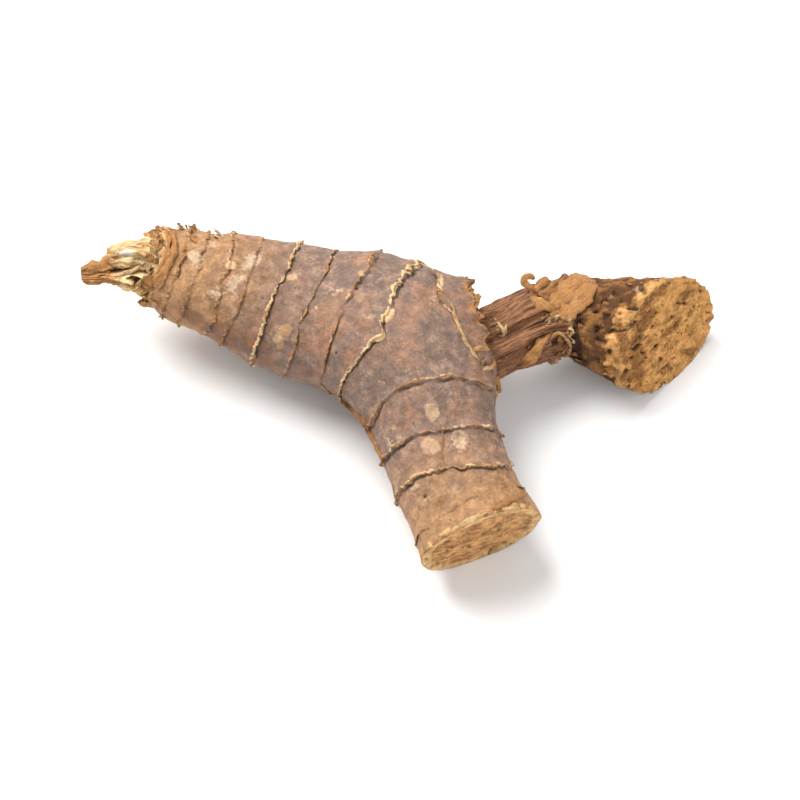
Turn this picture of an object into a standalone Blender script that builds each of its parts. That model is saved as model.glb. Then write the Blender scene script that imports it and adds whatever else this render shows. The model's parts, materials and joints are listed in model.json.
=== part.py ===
"""A dried, forked piece of lesser galangal rhizome, lying on a flat surface.

The rhizome grew as one body, so it is one closed solid. Its stem is one lofted limb, which runs
from a ragged collar through an elbow to a cut end, with a torn shoot standing out of the collar.
A shorter side branch comes out of a sheath on the elbow, narrows to a wrinkled neck and flares
to a slanting cut. Frayed leaf-scar rings are raised from the bark by formula, and root scars and
the stumps of cut roots are fused to it.

Lengths in the tables below are millimetres. Blender's units are metres, with +Z up, +X along
the rhizome towards its side branch, and the surface that it lies on at Z = 0.
"""

import bisect
import math
from typing import NamedTuple

import bmesh
import bpy
from mathutils import Matrix, Vector, noise

MM = 0.001
FULL_TURN = 2 * math.pi


class Ring(NamedTuple):
    """A leaf-scar ring: where it goes round its limb, how proud it is, how it leans and strays."""

    place: float
    height: float
    lean: float
    lean_angle: float
    ragged: float


class Rim(NamedTuple):
    """A limb's torn rim: how far and where on it it leans back, and how torn it is."""

    lean: float
    lean_angle: float
    ragged: float


class Root(NamedTuple):
    """A root's scar or stump: its limb, its place on it, its angle from the top, and its size."""

    limb: str
    place: float
    angle: float
    radius: float
    height: float


class Cut(NamedTuple):
    """A knife's cut: a point in its plane, and the way the fresh face looks."""

    point: tuple
    facing: tuple


# Centre line and radius of the stem, from inside its torn end to past its cut end: x, y, z, r.
STEM_LINE = (
    (-30.4, 12.4, 11.0, 3.90),
    (-27.6, 11.9, 10.8, 4.55),
    (-25.3, 11.2, 10.6, 5.30),
    (-22.6, 10.4, 10.2, 5.75),
    (-18.6, 9.5, 9.4, 6.55),
    (-13.5, 8.2, 8.0, 7.45),
    (-8.2, 6.7, 7.75, 8.00),
    (-2.8, 4.9, 8.8, 8.50),
    (1.5, 1.2, 9.2, 8.40),
    (3.9, -4.4, 8.8, 7.55),
    (5.0, -9.4, 8.1, 6.75),
    (6.4, -13.8, 7.4, 6.65),
    (8.2, -18.0, 6.8, 6.70),
    (9.8, -21.4, 6.6, 7.20),
    (11.6, -26.0, 6.0, 7.60),
)
# The branch's sheath, from past its torn mouth back to the inside of the elbow.
SHEATH_LINE = (
    (12.0, 5.2, 9.4, 5.00),
    (9.1, 4.6, 9.2, 5.75),
    (6.6, 4.0, 9.1, 6.75),
    (3.6, 3.0, 9.0, 7.60),
    (-0.4, 1.6, 8.8, 7.10),
)
# On both of those lines this point carries the torn rim, and places are measured from it.
RIM_POINT = 1

# The branch itself, from inside the sheath to past its slanting cut.
BRANCH_LINE = (
    (2.6, 0.4, 7.2, 3.90),
    (9.2, 2.1, 7.8, 3.95),
    (12.6, 3.5, 8.2, 3.90),
    (15.8, 5.3, 8.2, 3.95),
    (19.4, 6.8, 7.6, 4.45),
    (23.6, 6.7, 6.65, 5.30),
    (28.2, 5.5, 6.42, 6.15),
    (33.0, 4.3, 6.50, 6.80),
    (37.0, 3.4, 6.65, 7.05),
    (42.0, 2.4, 6.75, 7.20),
)
# The torn shoot: a hollowed bundle of fibre, and a blunt splinter above it.
SHOOT_LINE = (
    (-21.5, 10.3, 10.3, 2.60),
    (-25.4, 11.3, 10.7, 2.55),
    (-28.4, 11.8, 11.0, 3.00),
    (-30.3, 11.6, 11.2, 2.95),
    (-32.2, 11.4, 11.2, 2.40),
    (-33.4, 11.1, 11.1, 1.80),
    (-34.3, 10.9, 11.0, 1.25),
    (-35.4, 10.8, 10.9, 0.95),
    (-36.6, 10.7, 10.8, 0.70),
)
SPLINTER_LINE = (
    (-21.5, 10.8, 10.8, 1.30),
    (-24.8, 11.6, 11.3, 1.40),
    (-28.0, 12.3, 12.0, 1.60),
    (-31.2, 12.5, 12.4, 1.50),
    (-33.3, 12.2, 12.1, 1.05),
)

STEM_CUT = Cut((10.0, -21.2, 6.9), (0.378, -0.921, -0.093))
BRANCH_CUT = Cut((30.7, 4.7, 6.7), (0.680, -0.610, 0.400))

STEM_RINGS = (
    Ring(2.3, 0.22, 0.4, 0.0, 0.30),
    Ring(4.3, 0.20, 0.3, 0.6, 0.25),
    Ring(7.3, 0.38, 0.5, 0.0, 0.45),
    Ring(10.4, 0.36, 0.5, 0.3, 0.50),
    Ring(14.6, 0.40, 0.8, -0.1, 0.45),
    Ring(18.6, 0.36, 1.5, -0.4, 0.50),
    Ring(23.2, 0.36, 1.7, -0.4, 0.50),
    Ring(27.9, 0.62, 1.1, 0.0, 0.55),
    Ring(38.5, 0.50, 0.5, 3.6, 0.45),
    Ring(43.9, 0.46, 0.4, 3.4, 0.50),
    Ring(48.3, 0.46, 0.5, 3.0, 0.50),
    Ring(53.3, 0.26, 0.2, 1.0, 0.25),
)
SHEATH_RINGS = (Ring(3.0, 0.75, 1.3, 0.0, 0.70),)
BRANCH_RINGS = (Ring(17.2, 0.60, 0.5, 0.3, 0.70),)
COLLAR_RIM = Rim(1.4, 0.5, 0.75)
SHEATH_RIM = Rim(0.5, 0.0, 0.70)

# A ring's outline along its limb: distance from the crest, and share of the ring's height.
# The branch's ring is a lip that hangs over the bark after it.
SCAR_PROFILE = ((-0.65, 0.0), (-0.12, 1.0), (0.20, 0.60), (0.70, 0.0))
LIP_PROFILE = ((-1.0, 0.0), (-0.35, 0.55), (0.5, 1.0), (0.62, 0.6), (0.2, -0.2), (0.9, -0.4))
# How far each way from its crest a ring carries the bark along, and the gap to the next loop.
RING_REACH = 0.98
RING_GAP = 0.7
# A torn rim's outline: distance from its crest into the limb, and radius beyond the limb's.
RIM_PROFILE = ((2.0, -1.30), (0.45, -0.95), (-0.75, -0.50), (-0.95, -0.10), (-0.30, 0.12))
# How deep inside the rim its tears begin, how soon they are full, and how uneven its wall is.
TEAR_START, TEAR_LENGTH, RIM_UNEVEN = 0.9, 1.4, 0.5
# Where the bark begins behind a rim, how far a loft stays inside its line, and its longest step.
RIM_GAP = 0.6
END_GAP = 0.2
LONGEST_STEP = 2.1

STEM_SIDES = 44
SHEATH_SIDES = 36
BRANCH_SIDES = 36
SHOOT_SIDES = 18
SPLINTER_SIDES = 9
ROOT_SIDES = 10

# Noise round a limb: about how many swings each kind makes in a full turn, divided by four.
SLOW, MIDDLE, RAGGED, FRAYED = 1.7, 3.2, 4.2, 7.5

LUMP_SIZE, LUMP_HEIGHT = 5.5, 0.42
PEBBLE_SIZE, PEBBLE_HEIGHT = 1.9, 0.13
FURROW_LENGTH, FURROW_DEPTH = 7.5, 0.16
FLATTENING = 0.03

# The branch's neck: where it shrank most as it dried, how far that reaches, and its wrinkles.
NECK_PLACE, NECK_REACH, NECK_WRINKLE, WRINKLES, WRINKLE_LENGTH = 12.2, 6.5, 0.85, 5.8, 7.0
# The flare: where its lobes begin, how soon they are full, and each one's angle, height, width.
FLARE_PLACE, FLARE_REACH = 22.0, 8.0
FLARE_LOBES = ((-0.75, 0.75, 0.55), (1.9, 0.45, 0.60), (-2.3, 0.40, 0.70), (0.9, -0.35, 0.50))

# The torn shoot's fibres: step between loops, flutes, and the hollow on the side seen from above.
SHOOT_STEP, FLUTE_LENGTH, FLUTE_DEPTH, SHOOT_SWELL = 1.0, 7.0, 0.42, 1.05
SHOOT_HOLLOW, HOLLOW_ANGLE, HOLLOW_POWER = 0.55, -0.55, 4

ROOT_SCARS = (
    Root("stem", 42.1, 0.12, 0.90, 0.16),
    Root("stem", 45.8, 0.34, 1.00, 0.18),
    Root("stem", 45.5, -0.20, 1.05, 0.18),
    Root("stem", 16.5, 0.92, 0.95, 0.20),
    Root("stem", 12.4, 2.55, 1.10, 0.35),
    Root("stem", 25.4, 2.30, 1.10, 0.45),
    Root("stem", 33.5, -2.60, 1.20, 0.40),
    Root("stem", 42.0, 2.30, 1.05, 0.35),
)
CUT_ROOTS = (
    Root("sheath", 1.5, -1.45, 1.00, 0.90),
    Root("stem", 20.6, -1.80, 0.90, 1.00),
    Root("stem", 30.0, 2.95, 1.05, 0.40),
    Root("branch", 15.6, 2.20, 0.85, 0.70),
)
ROOT_SINK = 1.8
ROOT_TIP_SHARE = 0.86
ROOT_RIM_SHARE = 0.3
ROOT_DISH = 0.16

# A cut face from its edge to its middle: share of the outline, and depth under the cut.
CUT_PROFILE = ((0.965, 0.0), (0.90, 0.22), (0.76, 0.30), (0.56, 0.42), (0.32, 0.40), (0.12, 0.36))
CUT_GRAIN, CUT_GRAIN_HEIGHT = 2.8, 0.45
LOW_SPOT_DEPTH = 0.28
SHARP_EDGE = math.radians(50)

BARK_COLOUR = (0.37, 0.225, 0.15, 1.0)
BARK_ROUGHNESS = 0.82


def limited(value):
    """The value, kept between 0 and 1."""
    return min(max(value, 0.0), 1.0)


def noise_round(angle, swings, depth):
    """Noise that closes on itself round a limb, from -1 to 1."""
    return noise.noise(Vector((swings * math.cos(angle), swings * math.sin(angle), depth)))


def catmull(before, start, end, after, share):
    """A point or radius on the smooth curve between start and end."""
    square = share * share
    cube = square * share
    return 0.5 * (
        2 * start
        + (end - before) * share
        + (2 * before - 5 * start + 4 * end - after) * square
        + (3 * start - before - 3 * end + after) * cube
    )


class Limb:
    """A smooth centre line with a radius and rings, measured by its length from one point."""

    SAMPLES = 24
    DIRECTION_SPAN = 8

    def __init__(self, line, zero_point=0, rings=(), profile=SCAR_PROFILE, seed=0.0):
        self.rings = rings
        self.profile = profile
        self.seed = seed
        rows = [Vector(row) for row in line]
        rows = [2 * rows[0] - rows[1], *rows, 2 * rows[-1] - rows[-2]]
        self.samples = []
        for index in range(1, len(rows) - 2):
            for step in range(self.SAMPLES):
                self.samples.append(catmull(*rows[index - 1 : index + 3], step / self.SAMPLES))
        self.samples.append(rows[-2])
        self.lengths = [0.0]
        for a, b in zip(self.samples, self.samples[1:]):
            self.lengths.append(self.lengths[-1] + (b.xyz - a.xyz).length)
        start = self.lengths[zero_point * self.SAMPLES]
        self.lengths = [length - start for length in self.lengths]

    def at(self, place):
        """Centre, direction and radius at a distance along the line."""
        last = len(self.lengths) - 2
        index = min(max(bisect.bisect_right(self.lengths, place) - 1, 0), last)
        span = self.lengths[index + 1] - self.lengths[index]
        share = (place - self.lengths[index]) / span
        here = self.samples[index].lerp(self.samples[index + 1], share)
        behind = self.samples[max(index - self.DIRECTION_SPAN, 0)]
        ahead = self.samples[min(index + self.DIRECTION_SPAN + 1, last + 1)]
        return here.xyz, (ahead.xyz - behind.xyz).normalized(), here.w

    def outward(self, place, angle):
        """Centre, the direction out of it at an angle measured from the top, and radius."""
        centre, along, radius = self.at(place)
        side = along.cross(Vector((0, 0, 1))).normalized()
        top = side.cross(along)
        return centre, math.cos(angle) * top + math.sin(angle) * side, radius

    def wander(self, ring, angle):
        """How far a ring strays along the limb at this angle, in a slow lean and quick zigzags."""
        depth = ring.place + self.seed
        slow = noise_round(angle, SLOW, depth)
        quick = noise_round(angle, FRAYED, depth)
        leaning = ring.lean * math.cos(angle - ring.lean_angle)
        return leaning + ring.ragged * (0.8 * slow + 1.2 * quick)

    def warp(self, place, angle):
        """The stray of the nearest rings, blended over the bark between them."""
        before = [ring for ring in self.rings if ring.place <= place + RING_REACH]
        after = [ring for ring in self.rings if ring.place > place + RING_REACH]
        if not before:
            return self.wander(after[0], angle)
        if not after:
            return self.wander(before[-1], angle)
        start = before[-1].place + RING_REACH
        share = limited((place - start) / (after[0].place - RING_REACH - start))
        return (1 - share) * self.wander(before[-1], angle) + share * self.wander(after[0], angle)

    def bark(self, place, angle):
        """The uneven bark's height over the limb's radius: lumps, pebbles, furrows and an oval."""
        centre, out, radius = self.outward(place, angle)
        point = centre + radius * out
        lumps = LUMP_HEIGHT * noise.noise(point / LUMP_SIZE + Vector((self.seed, 0, 0)))
        pebbles = PEBBLE_HEIGHT * noise.noise(point / PEBBLE_SIZE)
        furrows = -FURROW_DEPTH * abs(noise_round(angle, MIDDLE, place / FURROW_LENGTH))
        oval = -FLATTENING * radius * math.cos(2 * angle)
        return lumps + pebbles + furrows + oval

    def ridge(self, ring, angle):
        """A ring's height at this angle: it thins and breaks as it goes round."""
        broad = noise_round(angle, MIDDLE, 2 * ring.place + self.seed)
        fine = noise_round(angle, FRAYED, 3 * ring.place + self.seed)
        return ring.height * max(0.8 + 0.7 * broad + 0.6 * fine, 0.2)

    def surface(self, place, angle, extra=0.0):
        """The point of the bark at a place and angle, raised by extra."""
        centre, out, radius = self.outward(place, angle)
        return centre + out * (radius + self.bark(place, angle) + extra)

    def rows(self, first):
        """Where the loops go: each ring's outline, and even steps between the rings."""
        rows = []
        here = first
        for ring in self.rings:
            start = ring.place + self.profile[0][0]
            steps = math.ceil((start - here) / LONGEST_STEP)
            rows += [(here + (start - here) * i / steps, None, 0.0) for i in range(steps)]
            rows += [(ring.place + offset, ring, share) for offset, share in self.profile]
            here = ring.place + self.profile[-1][0] + RING_GAP
        last = self.lengths[-1] - END_GAP
        steps = math.ceil((last - here) / LONGEST_STEP)
        return rows + [(here + (last - here) * i / steps, None, 0.0) for i in range(steps + 1)]


def branch_form(place, angle):
    """Deep lengthwise wrinkles in the branch's dried neck, and the lobes of its flare."""
    shrunk = limited(1 - ((place - NECK_PLACE) / NECK_REACH) ** 2)
    wrinkle = noise_round(angle, WRINKLES, place / WRINKLE_LENGTH) - 0.2
    swell = limited((place - FLARE_PLACE) / FLARE_REACH)
    lobes = 0.0
    for lobe_angle, height, width in FLARE_LOBES:
        turn = (angle - lobe_angle + math.pi) % FULL_TURN - math.pi
        lobes += height * math.exp(-((turn / width) ** 2))
    return NECK_WRINKLE * shrunk * wrinkle + swell * lobes


def angles(sides):
    """Even angles for one loop."""
    return [FULL_TURN * index / sides for index in range(sides)]


def bark_loop(limb, row, sides, form=None):
    """One closed loop of bark points."""
    place, ring, share = row
    points = []
    for angle in angles(sides):
        strayed = place + limb.warp(place, angle)
        raised = share * limb.ridge(ring, angle) if ring else 0.0
        raised += form(strayed, angle) if form else 0.0
        points.append(limb.surface(strayed, angle, raised))
    return points


def rim_loop(limb, row, sides, rim):
    """One loop of a torn rim: the groove inside it, its ragged crest and its outer edge."""
    inward, beyond = row
    tearing = 2 * rim.ragged * limited((TEAR_START - inward) / TEAR_LENGTH)
    radius = limb.at(0.0)[2]
    points = []
    for angle in angles(sides):
        torn = tearing * noise_round(angle, RAGGED, limb.seed)
        leaning = rim.lean * math.cos(angle - rim.lean_angle)
        centre, out, _ = limb.outward(inward + leaning - torn, angle)
        uneven = RIM_UNEVEN * noise_round(angle, RAGGED, limb.seed + 9)
        points.append(centre + out * (radius + beyond + uneven + limb.bark(END_GAP, angle)))
    return points


def shoot_loop(limb, place, sides, hollow):
    """One loop of torn fibre: fluted where it split, and hollowed on the side seen from above."""
    points = []
    for angle in angles(sides):
        centre, out, radius = limb.outward(place, angle)
        flute = FLUTE_DEPTH * noise_round(angle, MIDDLE, place / FLUTE_LENGTH + limb.seed)
        scoop = hollow * max(0.0, math.cos(angle - HOLLOW_ANGLE)) ** HOLLOW_POWER
        points.append(centre + out * radius * (SHOOT_SWELL + flute - scoop))
    return points


def loft(mesh, loops):
    """Bridges loops of equal count with quads, and closes both ends with one face each."""
    rows = [[mesh.verts.new(point * MM) for point in loop] for loop in loops]
    count = len(rows[0])
    for near, far in zip(rows, rows[1:]):
        for i in range(count):
            j = (i + 1) % count
            mesh.faces.new((near[i], near[j], far[j], far[i]))
    mesh.faces.new(rows[0][::-1])
    mesh.faces.new(rows[-1])
    bmesh.ops.recalc_face_normals(mesh, faces=mesh.faces)


def slice_off(mesh, point, facing):
    """Removes what lies beyond a plane, and returns the open edges left there."""
    geometry = mesh.verts[:] + mesh.edges[:] + mesh.faces[:]
    sliced = bmesh.ops.bisect_plane(
        mesh, geom=geometry, plane_co=point, plane_no=facing, clear_outer=True
    )
    return [item for item in sliced["geom_cut"] if isinstance(item, bmesh.types.BMEdge)]


def cut_end(mesh, cut):
    """Cuts a limb off, then sinks the middle of the cut face inside its rim."""
    facing = Vector(cut.facing).normalized()
    edges = slice_off(mesh, Vector(cut.point) * MM, facing)
    face = bmesh.ops.contextual_create(mesh, geom=edges)["faces"][0]
    centre = face.calc_center_median()
    reach = 1.0
    for share, sink in CUT_PROFILE:
        bmesh.ops.inset_region(mesh, faces=[face], thickness=0.0)
        for vert in face.verts:
            spoke = vert.co - centre
            spoke -= facing * spoke.dot(facing)
            flat = centre + spoke * share / reach
            grain = limited(4 * sink) * CUT_GRAIN_HEIGHT * noise.noise(flat / MM / CUT_GRAIN)
            vert.co = flat + facing * (grain - sink) * MM
        reach = share
    bmesh.ops.triangulate(mesh, faces=[face])


def new_object(name, mesh, collection, material):
    """Turns a bmesh into an object of the collection."""
    data = bpy.data.meshes.new(name)
    mesh.to_mesh(data)
    mesh.free()
    data.materials.append(material)
    made = bpy.data.objects.new(name, data)
    collection.objects.link(made)
    return made


def make_rimmed(limb, sides, rim):
    """A limb that begins at a torn rim and carries ringed bark from there on."""
    mesh = bmesh.new()
    loops = [rim_loop(limb, row, sides, rim) for row in RIM_PROFILE]
    loft(mesh, loops + [bark_loop(limb, row, sides) for row in limb.rows(RIM_GAP)])
    return mesh


def make_stem(limb):
    """The stem: torn collar, ringed bark, elbow and cut end."""
    mesh = make_rimmed(limb, STEM_SIDES, COLLAR_RIM)
    cut_end(mesh, STEM_CUT)
    return mesh


def make_branch(limb):
    """The side branch: wrinkled neck and flare, cut at a slant."""
    mesh = bmesh.new()
    loft(mesh, [bark_loop(limb, row, BRANCH_SIDES, branch_form) for row in limb.rows(END_GAP)])
    cut_end(mesh, BRANCH_CUT)
    return mesh


def make_fibre(line, sides, hollow, seed):
    """One length of torn fibre, rooted inside the collar."""
    mesh = bmesh.new()
    limb = Limb(line, seed=seed)
    steps = math.ceil(limb.lengths[-1] / SHOOT_STEP)
    places = [limb.lengths[-1] * step / steps for step in range(steps + 1)]
    loft(mesh, [shoot_loop(limb, place, sides, hollow) for place in places])
    return mesh


def make_root(limb, root):
    """A root's scar or stump: a short tapered peg with a dished end, sunk well into the bark."""
    mesh = bmesh.new()
    bmesh.ops.create_cone(
        mesh,
        cap_ends=True,
        segments=ROOT_SIDES,
        radius1=root.radius * MM,
        radius2=root.radius * ROOT_TIP_SHARE * MM,
        depth=(root.height + ROOT_SINK) * MM,
    )
    top = max(mesh.faces, key=lambda face: face.calc_center_median().z)
    rim = ROOT_RIM_SHARE * root.radius * MM
    bmesh.ops.inset_region(mesh, faces=[top], thickness=rim, depth=-ROOT_DISH * MM)
    foot = limb.surface(root.place + limb.warp(root.place, root.angle), root.angle)
    _, out, _ = limb.outward(root.place, root.angle)
    middle = foot + out * (root.height - ROOT_SINK) / 2
    stand = out.to_track_quat("Z", "Y").to_matrix().to_4x4()
    mesh.transform(Matrix.Translation(middle * MM) @ stand)
    return mesh


def fuse(body, growths):
    """Joins a collection's objects to the body, and removes them."""
    union = body.modifiers.new("grown together", "BOOLEAN")
    union.operation = "UNION"
    union.operand_type = "COLLECTION"
    union.collection = growths
    union.solver = "MANIFOLD"
    bpy.context.view_layer.objects.active = body
    bpy.ops.object.modifier_apply(modifier=union.name)
    for obj in list(growths.objects):
        bpy.data.objects.remove(obj)
    bpy.data.collections.remove(growths)


def rest_on_surface(body):
    """Gives the low spots small flats at Z = 0, with the origin at the middle of the base."""
    corners = [vert.co for vert in body.data.vertices]
    low = Vector([min(co[axis] for co in corners) for axis in range(3)])
    high = Vector([max(co[axis] for co in corners) for axis in range(3)])
    origin = (low + high) / 2
    origin.z = low.z + LOW_SPOT_DEPTH * MM
    mesh = bmesh.new()
    mesh.from_mesh(body.data)
    bmesh.ops.translate(mesh, verts=mesh.verts, vec=-origin)
    edges = slice_off(mesh, Vector((0, 0, 0)), Vector((0, 0, -1)))
    bmesh.ops.holes_fill(mesh, edges=edges, sides=0)
    mesh.to_mesh(body.data)
    mesh.free()


def bark_material():
    """Dull grey-brown bark."""
    material = bpy.data.materials.new("bark")
    material.use_nodes = True
    shader = material.node_tree.nodes["Principled BSDF"]
    shader.inputs["Base Color"].default_value = BARK_COLOUR
    shader.inputs["Roughness"].default_value = BARK_ROUGHNESS
    shader.inputs["Metallic"].default_value = 0.0
    return material


def main():
    """Builds the rhizome as one solid."""
    for obj in list(bpy.data.objects):
        bpy.data.objects.remove(obj)
    part = bpy.data.collections.new("lesser_galangal_rhizome")
    growths = bpy.data.collections.new("growths")
    for collection in (part, growths):
        bpy.context.scene.collection.children.link(collection)
    material = bark_material()

    limbs = {
        "stem": Limb(STEM_LINE, RIM_POINT, STEM_RINGS, seed=3.0),
        "sheath": Limb(SHEATH_LINE, RIM_POINT, SHEATH_RINGS, seed=7.0),
        "branch": Limb(BRANCH_LINE, 0, BRANCH_RINGS, LIP_PROFILE, seed=11.0),
    }
    rhizome = new_object("rhizome", make_stem(limbs["stem"]), part, material)
    grown = {
        "branch_sheath": make_rimmed(limbs["sheath"], SHEATH_SIDES, SHEATH_RIM),
        "side_branch": make_branch(limbs["branch"]),
        "torn_shoot": make_fibre(SHOOT_LINE, SHOOT_SIDES, SHOOT_HOLLOW, seed=5.0),
        "splinter": make_fibre(SPLINTER_LINE, SPLINTER_SIDES, 0.0, seed=8.0),
    }
    for index, root in enumerate(ROOT_SCARS + CUT_ROOTS):
        grown[f"root_{index}"] = make_root(limbs[root.limb], root)
    for name, mesh in grown.items():
        new_object(name, mesh, growths, material)

    fuse(rhizome, growths)
    rest_on_surface(rhizome)
    rhizome.data.shade_smooth()
    rhizome.data.set_sharp_from_angle(angle=SHARP_EDGE)


main()
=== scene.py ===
"""The looks of a dried, forked piece of lesser galangal rhizome, laid on a plain pale floor.

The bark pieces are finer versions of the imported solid: the same limbs, from the same centre lines,
rings and cuts, with more loops, crisper leaf scars and fine relief. Torn fibre, papery frills and
loose scales are pieces of their own on top of them. Lengths in the tables are millimetres.
"""

import json
import logging
import math
import random
from dataclasses import dataclass, field
from enum import Enum
from typing import Callable, NamedTuple, Sequence

import bmesh
import bpy
import numpy as np
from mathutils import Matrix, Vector, noise
from mathutils.bvhtree import BVHTree

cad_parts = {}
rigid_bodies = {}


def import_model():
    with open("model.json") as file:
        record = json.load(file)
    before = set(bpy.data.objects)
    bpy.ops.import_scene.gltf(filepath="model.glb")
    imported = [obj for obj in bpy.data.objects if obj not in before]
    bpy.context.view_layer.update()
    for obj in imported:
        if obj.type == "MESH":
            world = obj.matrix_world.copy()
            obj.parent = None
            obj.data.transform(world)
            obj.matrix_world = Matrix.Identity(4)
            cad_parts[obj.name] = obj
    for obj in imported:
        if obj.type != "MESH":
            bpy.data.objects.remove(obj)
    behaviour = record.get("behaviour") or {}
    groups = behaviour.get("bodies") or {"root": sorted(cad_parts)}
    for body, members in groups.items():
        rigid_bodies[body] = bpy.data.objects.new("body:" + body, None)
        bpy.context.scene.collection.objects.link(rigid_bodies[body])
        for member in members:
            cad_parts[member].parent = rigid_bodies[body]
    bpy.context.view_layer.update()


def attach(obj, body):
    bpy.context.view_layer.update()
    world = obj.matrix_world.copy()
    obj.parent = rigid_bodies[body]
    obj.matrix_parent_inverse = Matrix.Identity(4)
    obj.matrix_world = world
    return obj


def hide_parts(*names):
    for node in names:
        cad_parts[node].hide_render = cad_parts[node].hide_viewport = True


Array = np.ndarray
MarkSet = dict[str, Array]
Socket = bpy.types.NodeSocket

LOG = logging.getLogger("rhizome")

MM = 0.001
FULL_TURN = 2 * math.pi
ALL_ROUND = (-3.14, 3.14)
NODE = "rhizome"
BODY = "root"
# Added to the tables' places, it brings them into the part's frame, on the middle of its base.
SHIFT = np.array((-0.5104, 3.7179, -0.037))

# The picture's frame: its direction up and its direction towards the camera.
CAMERA_ELEVATION = math.radians(62)
PICTURE_UP = np.array((0.0, math.sin(CAMERA_ELEVATION), math.cos(CAMERA_ELEVATION)))
PICTURE_OUT = np.array((0.0, -math.cos(CAMERA_ELEVATION), math.sin(CAMERA_ELEVATION)))
MM_PER_PIXEL = 0.2206
PICTURE_CENTRE = (531.0, 477.0)


class Ring(NamedTuple):
    """A leaf-scar ring: where it goes round its limb, how proud it is, how it leans and strays,
    how wide and how cream its crest is, its angles and places where the camera sees it, and how
    jagged it is."""

    place: float
    height: float
    lean: float
    lean_angle: float
    ragged: float
    wide: float = 0.16
    cream: float = 0.5
    trace: tuple = ()
    jag: float = 1.0


class Rim(NamedTuple):
    """A limb's torn rim: how far and where on it it leans back, and how torn it is."""

    lean: float
    lean_angle: float
    ragged: float


class Root(NamedTuple):
    """A root's scar or stump: its place on its limb, its angle from the top, and its size."""

    place: float
    angle: float
    radius: float
    height: float


class Knife(NamedTuple):
    """A knife's cut: a point in its plane, and the way the fresh face looks."""

    point: tuple
    facing: tuple


class Spot(NamedTuple):
    """A mark seen from the camera: its pixel in the picture, its half width and half height in
    millimetres, its turn in radians, and its strength."""

    x: float
    y: float
    wide: float
    high: float
    turn: float
    strength: float


def spots_of(*rows: tuple) -> tuple[Spot, ...]:
    """The marks with these values, one row for each."""
    return tuple(Spot(*row) for row in rows)


STEM_LINE = (
    (-30.4, 12.4, 11.0, 3.90),
    (-27.6, 11.9, 10.8, 4.55),
    (-25.3, 11.2, 10.6, 5.30),
    (-22.6, 10.4, 10.2, 5.75),
    (-18.6, 9.5, 9.4, 6.55),
    (-13.5, 8.2, 8.0, 7.45),
    (-8.2, 6.7, 7.75, 8.00),
    (-2.8, 4.9, 8.8, 8.50),
    (1.5, 1.2, 9.2, 8.40),
    (3.9, -4.4, 8.8, 7.55),
    (5.0, -9.4, 8.1, 6.75),
    (6.4, -13.8, 7.4, 6.65),
    (8.2, -18.0, 6.8, 6.70),
    (9.8, -21.4, 6.6, 7.20),
    (11.6, -26.0, 6.0, 7.60),
)
SHEATH_LINE = (
    (12.0, 5.2, 9.4, 5.00),
    (9.1, 4.6, 9.2, 5.75),
    (6.6, 4.0, 9.1, 6.75),
    (3.6, 3.0, 9.0, 7.60),
    (-0.4, 1.6, 8.8, 7.10),
)
BRANCH_LINE = (
    (2.6, 0.4, 7.2, 3.90),
    (9.2, 2.1, 7.8, 3.95),
    (12.6, 3.5, 8.2, 3.90),
    (15.8, 5.3, 8.2, 3.95),
    (19.4, 6.8, 7.6, 4.45),
    (23.6, 6.7, 6.65, 5.30),
    (28.2, 5.5, 6.42, 6.15),
    (33.0, 4.3, 6.50, 6.80),
    (37.0, 3.4, 6.65, 7.05),
    (42.0, 2.4, 6.75, 7.20),
)
SHOOT_LINE = (
    (-21.5, 10.3, 10.3, 2.60),
    (-25.4, 11.3, 10.7, 2.55),
    (-28.4, 11.8, 11.0, 3.00),
    (-30.3, 11.6, 11.2, 2.95),
    (-32.2, 11.4, 11.2, 2.40),
    (-33.4, 11.1, 11.1, 1.80),
    (-34.3, 10.9, 11.0, 1.25),
    (-35.4, 10.8, 10.9, 0.95),
    (-36.6, 10.7, 10.8, 0.70),
)
SPLINTER_LINE = (
    (-21.5, 10.8, 10.8, 1.30),
    (-24.8, 11.6, 11.3, 1.40),
    (-28.0, 12.3, 12.0, 1.60),
    (-31.2, 12.5, 12.4, 1.50),
    (-33.3, 12.2, 12.1, 1.05),
)
RIM_POINT = 1

# Angles from the top and places along the limb of the rings that the camera sees.
A2_TRACE = ((-0.79, 7.1), (-0.18, 7.7), (0.13, 7.7), (0.41, 7.3))
A3_TRACE = ((-0.27, 9.9), (0.12, 10.0), (0.47, 9.9), (0.82, 9.8), (1.41, 9.5))
A4_TRACE = (
    (-1.1, 14.9), (-0.36, 14.1), (0.01, 14.0), (0.29, 13.3), (0.54, 13.2), (1.03, 13.4), (1.6, 13.5),
)
A5_TRACE = (
    (-0.94, 20.3), (-0.18, 20.9), (0.24, 20.0), (0.44, 19.5), (0.64, 18.9), (1.03, 18.8), (2.03, 17.2),
)
A6_TRACE = ((-0.9, 25.0), (-0.32, 25.6), (0.04, 25.5), (0.46, 25.5), (0.81, 25.1), (1.54, 22.3))
A7_TRACE = (
    (-1.13, 27.6), (-0.63, 28.2), (-0.42, 28.4), (-0.15, 28.9), (0.14, 29.8),
    (0.34, 30.4), (0.44, 31.8), (0.6, 31.2), (0.94, 31.8), (1.88, 28.0),
)
L1_TRACE = (
    (-0.87, 39.8), (-0.68, 39.3), (-0.29, 38.6), (0.01, 38.6), (0.3, 38.4),
    (0.62, 38.3), (1.0, 39.2), (1.34, 40.4),
)
L2_TRACE = (
    (-1.24, 45.2), (-0.81, 44.6), (-0.48, 44.3), (-0.13, 44.2), (0.14, 44.2),
    (0.53, 43.8), (0.93, 44.0), (1.21, 44.3),
)
L3_TRACE = (
    (-1.07, 50.1), (-0.43, 49.9), (-0.08, 49.2), (0.23, 48.6), (0.5, 48.2), (0.74, 47.9), (1.75, 48.2),
)
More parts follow.
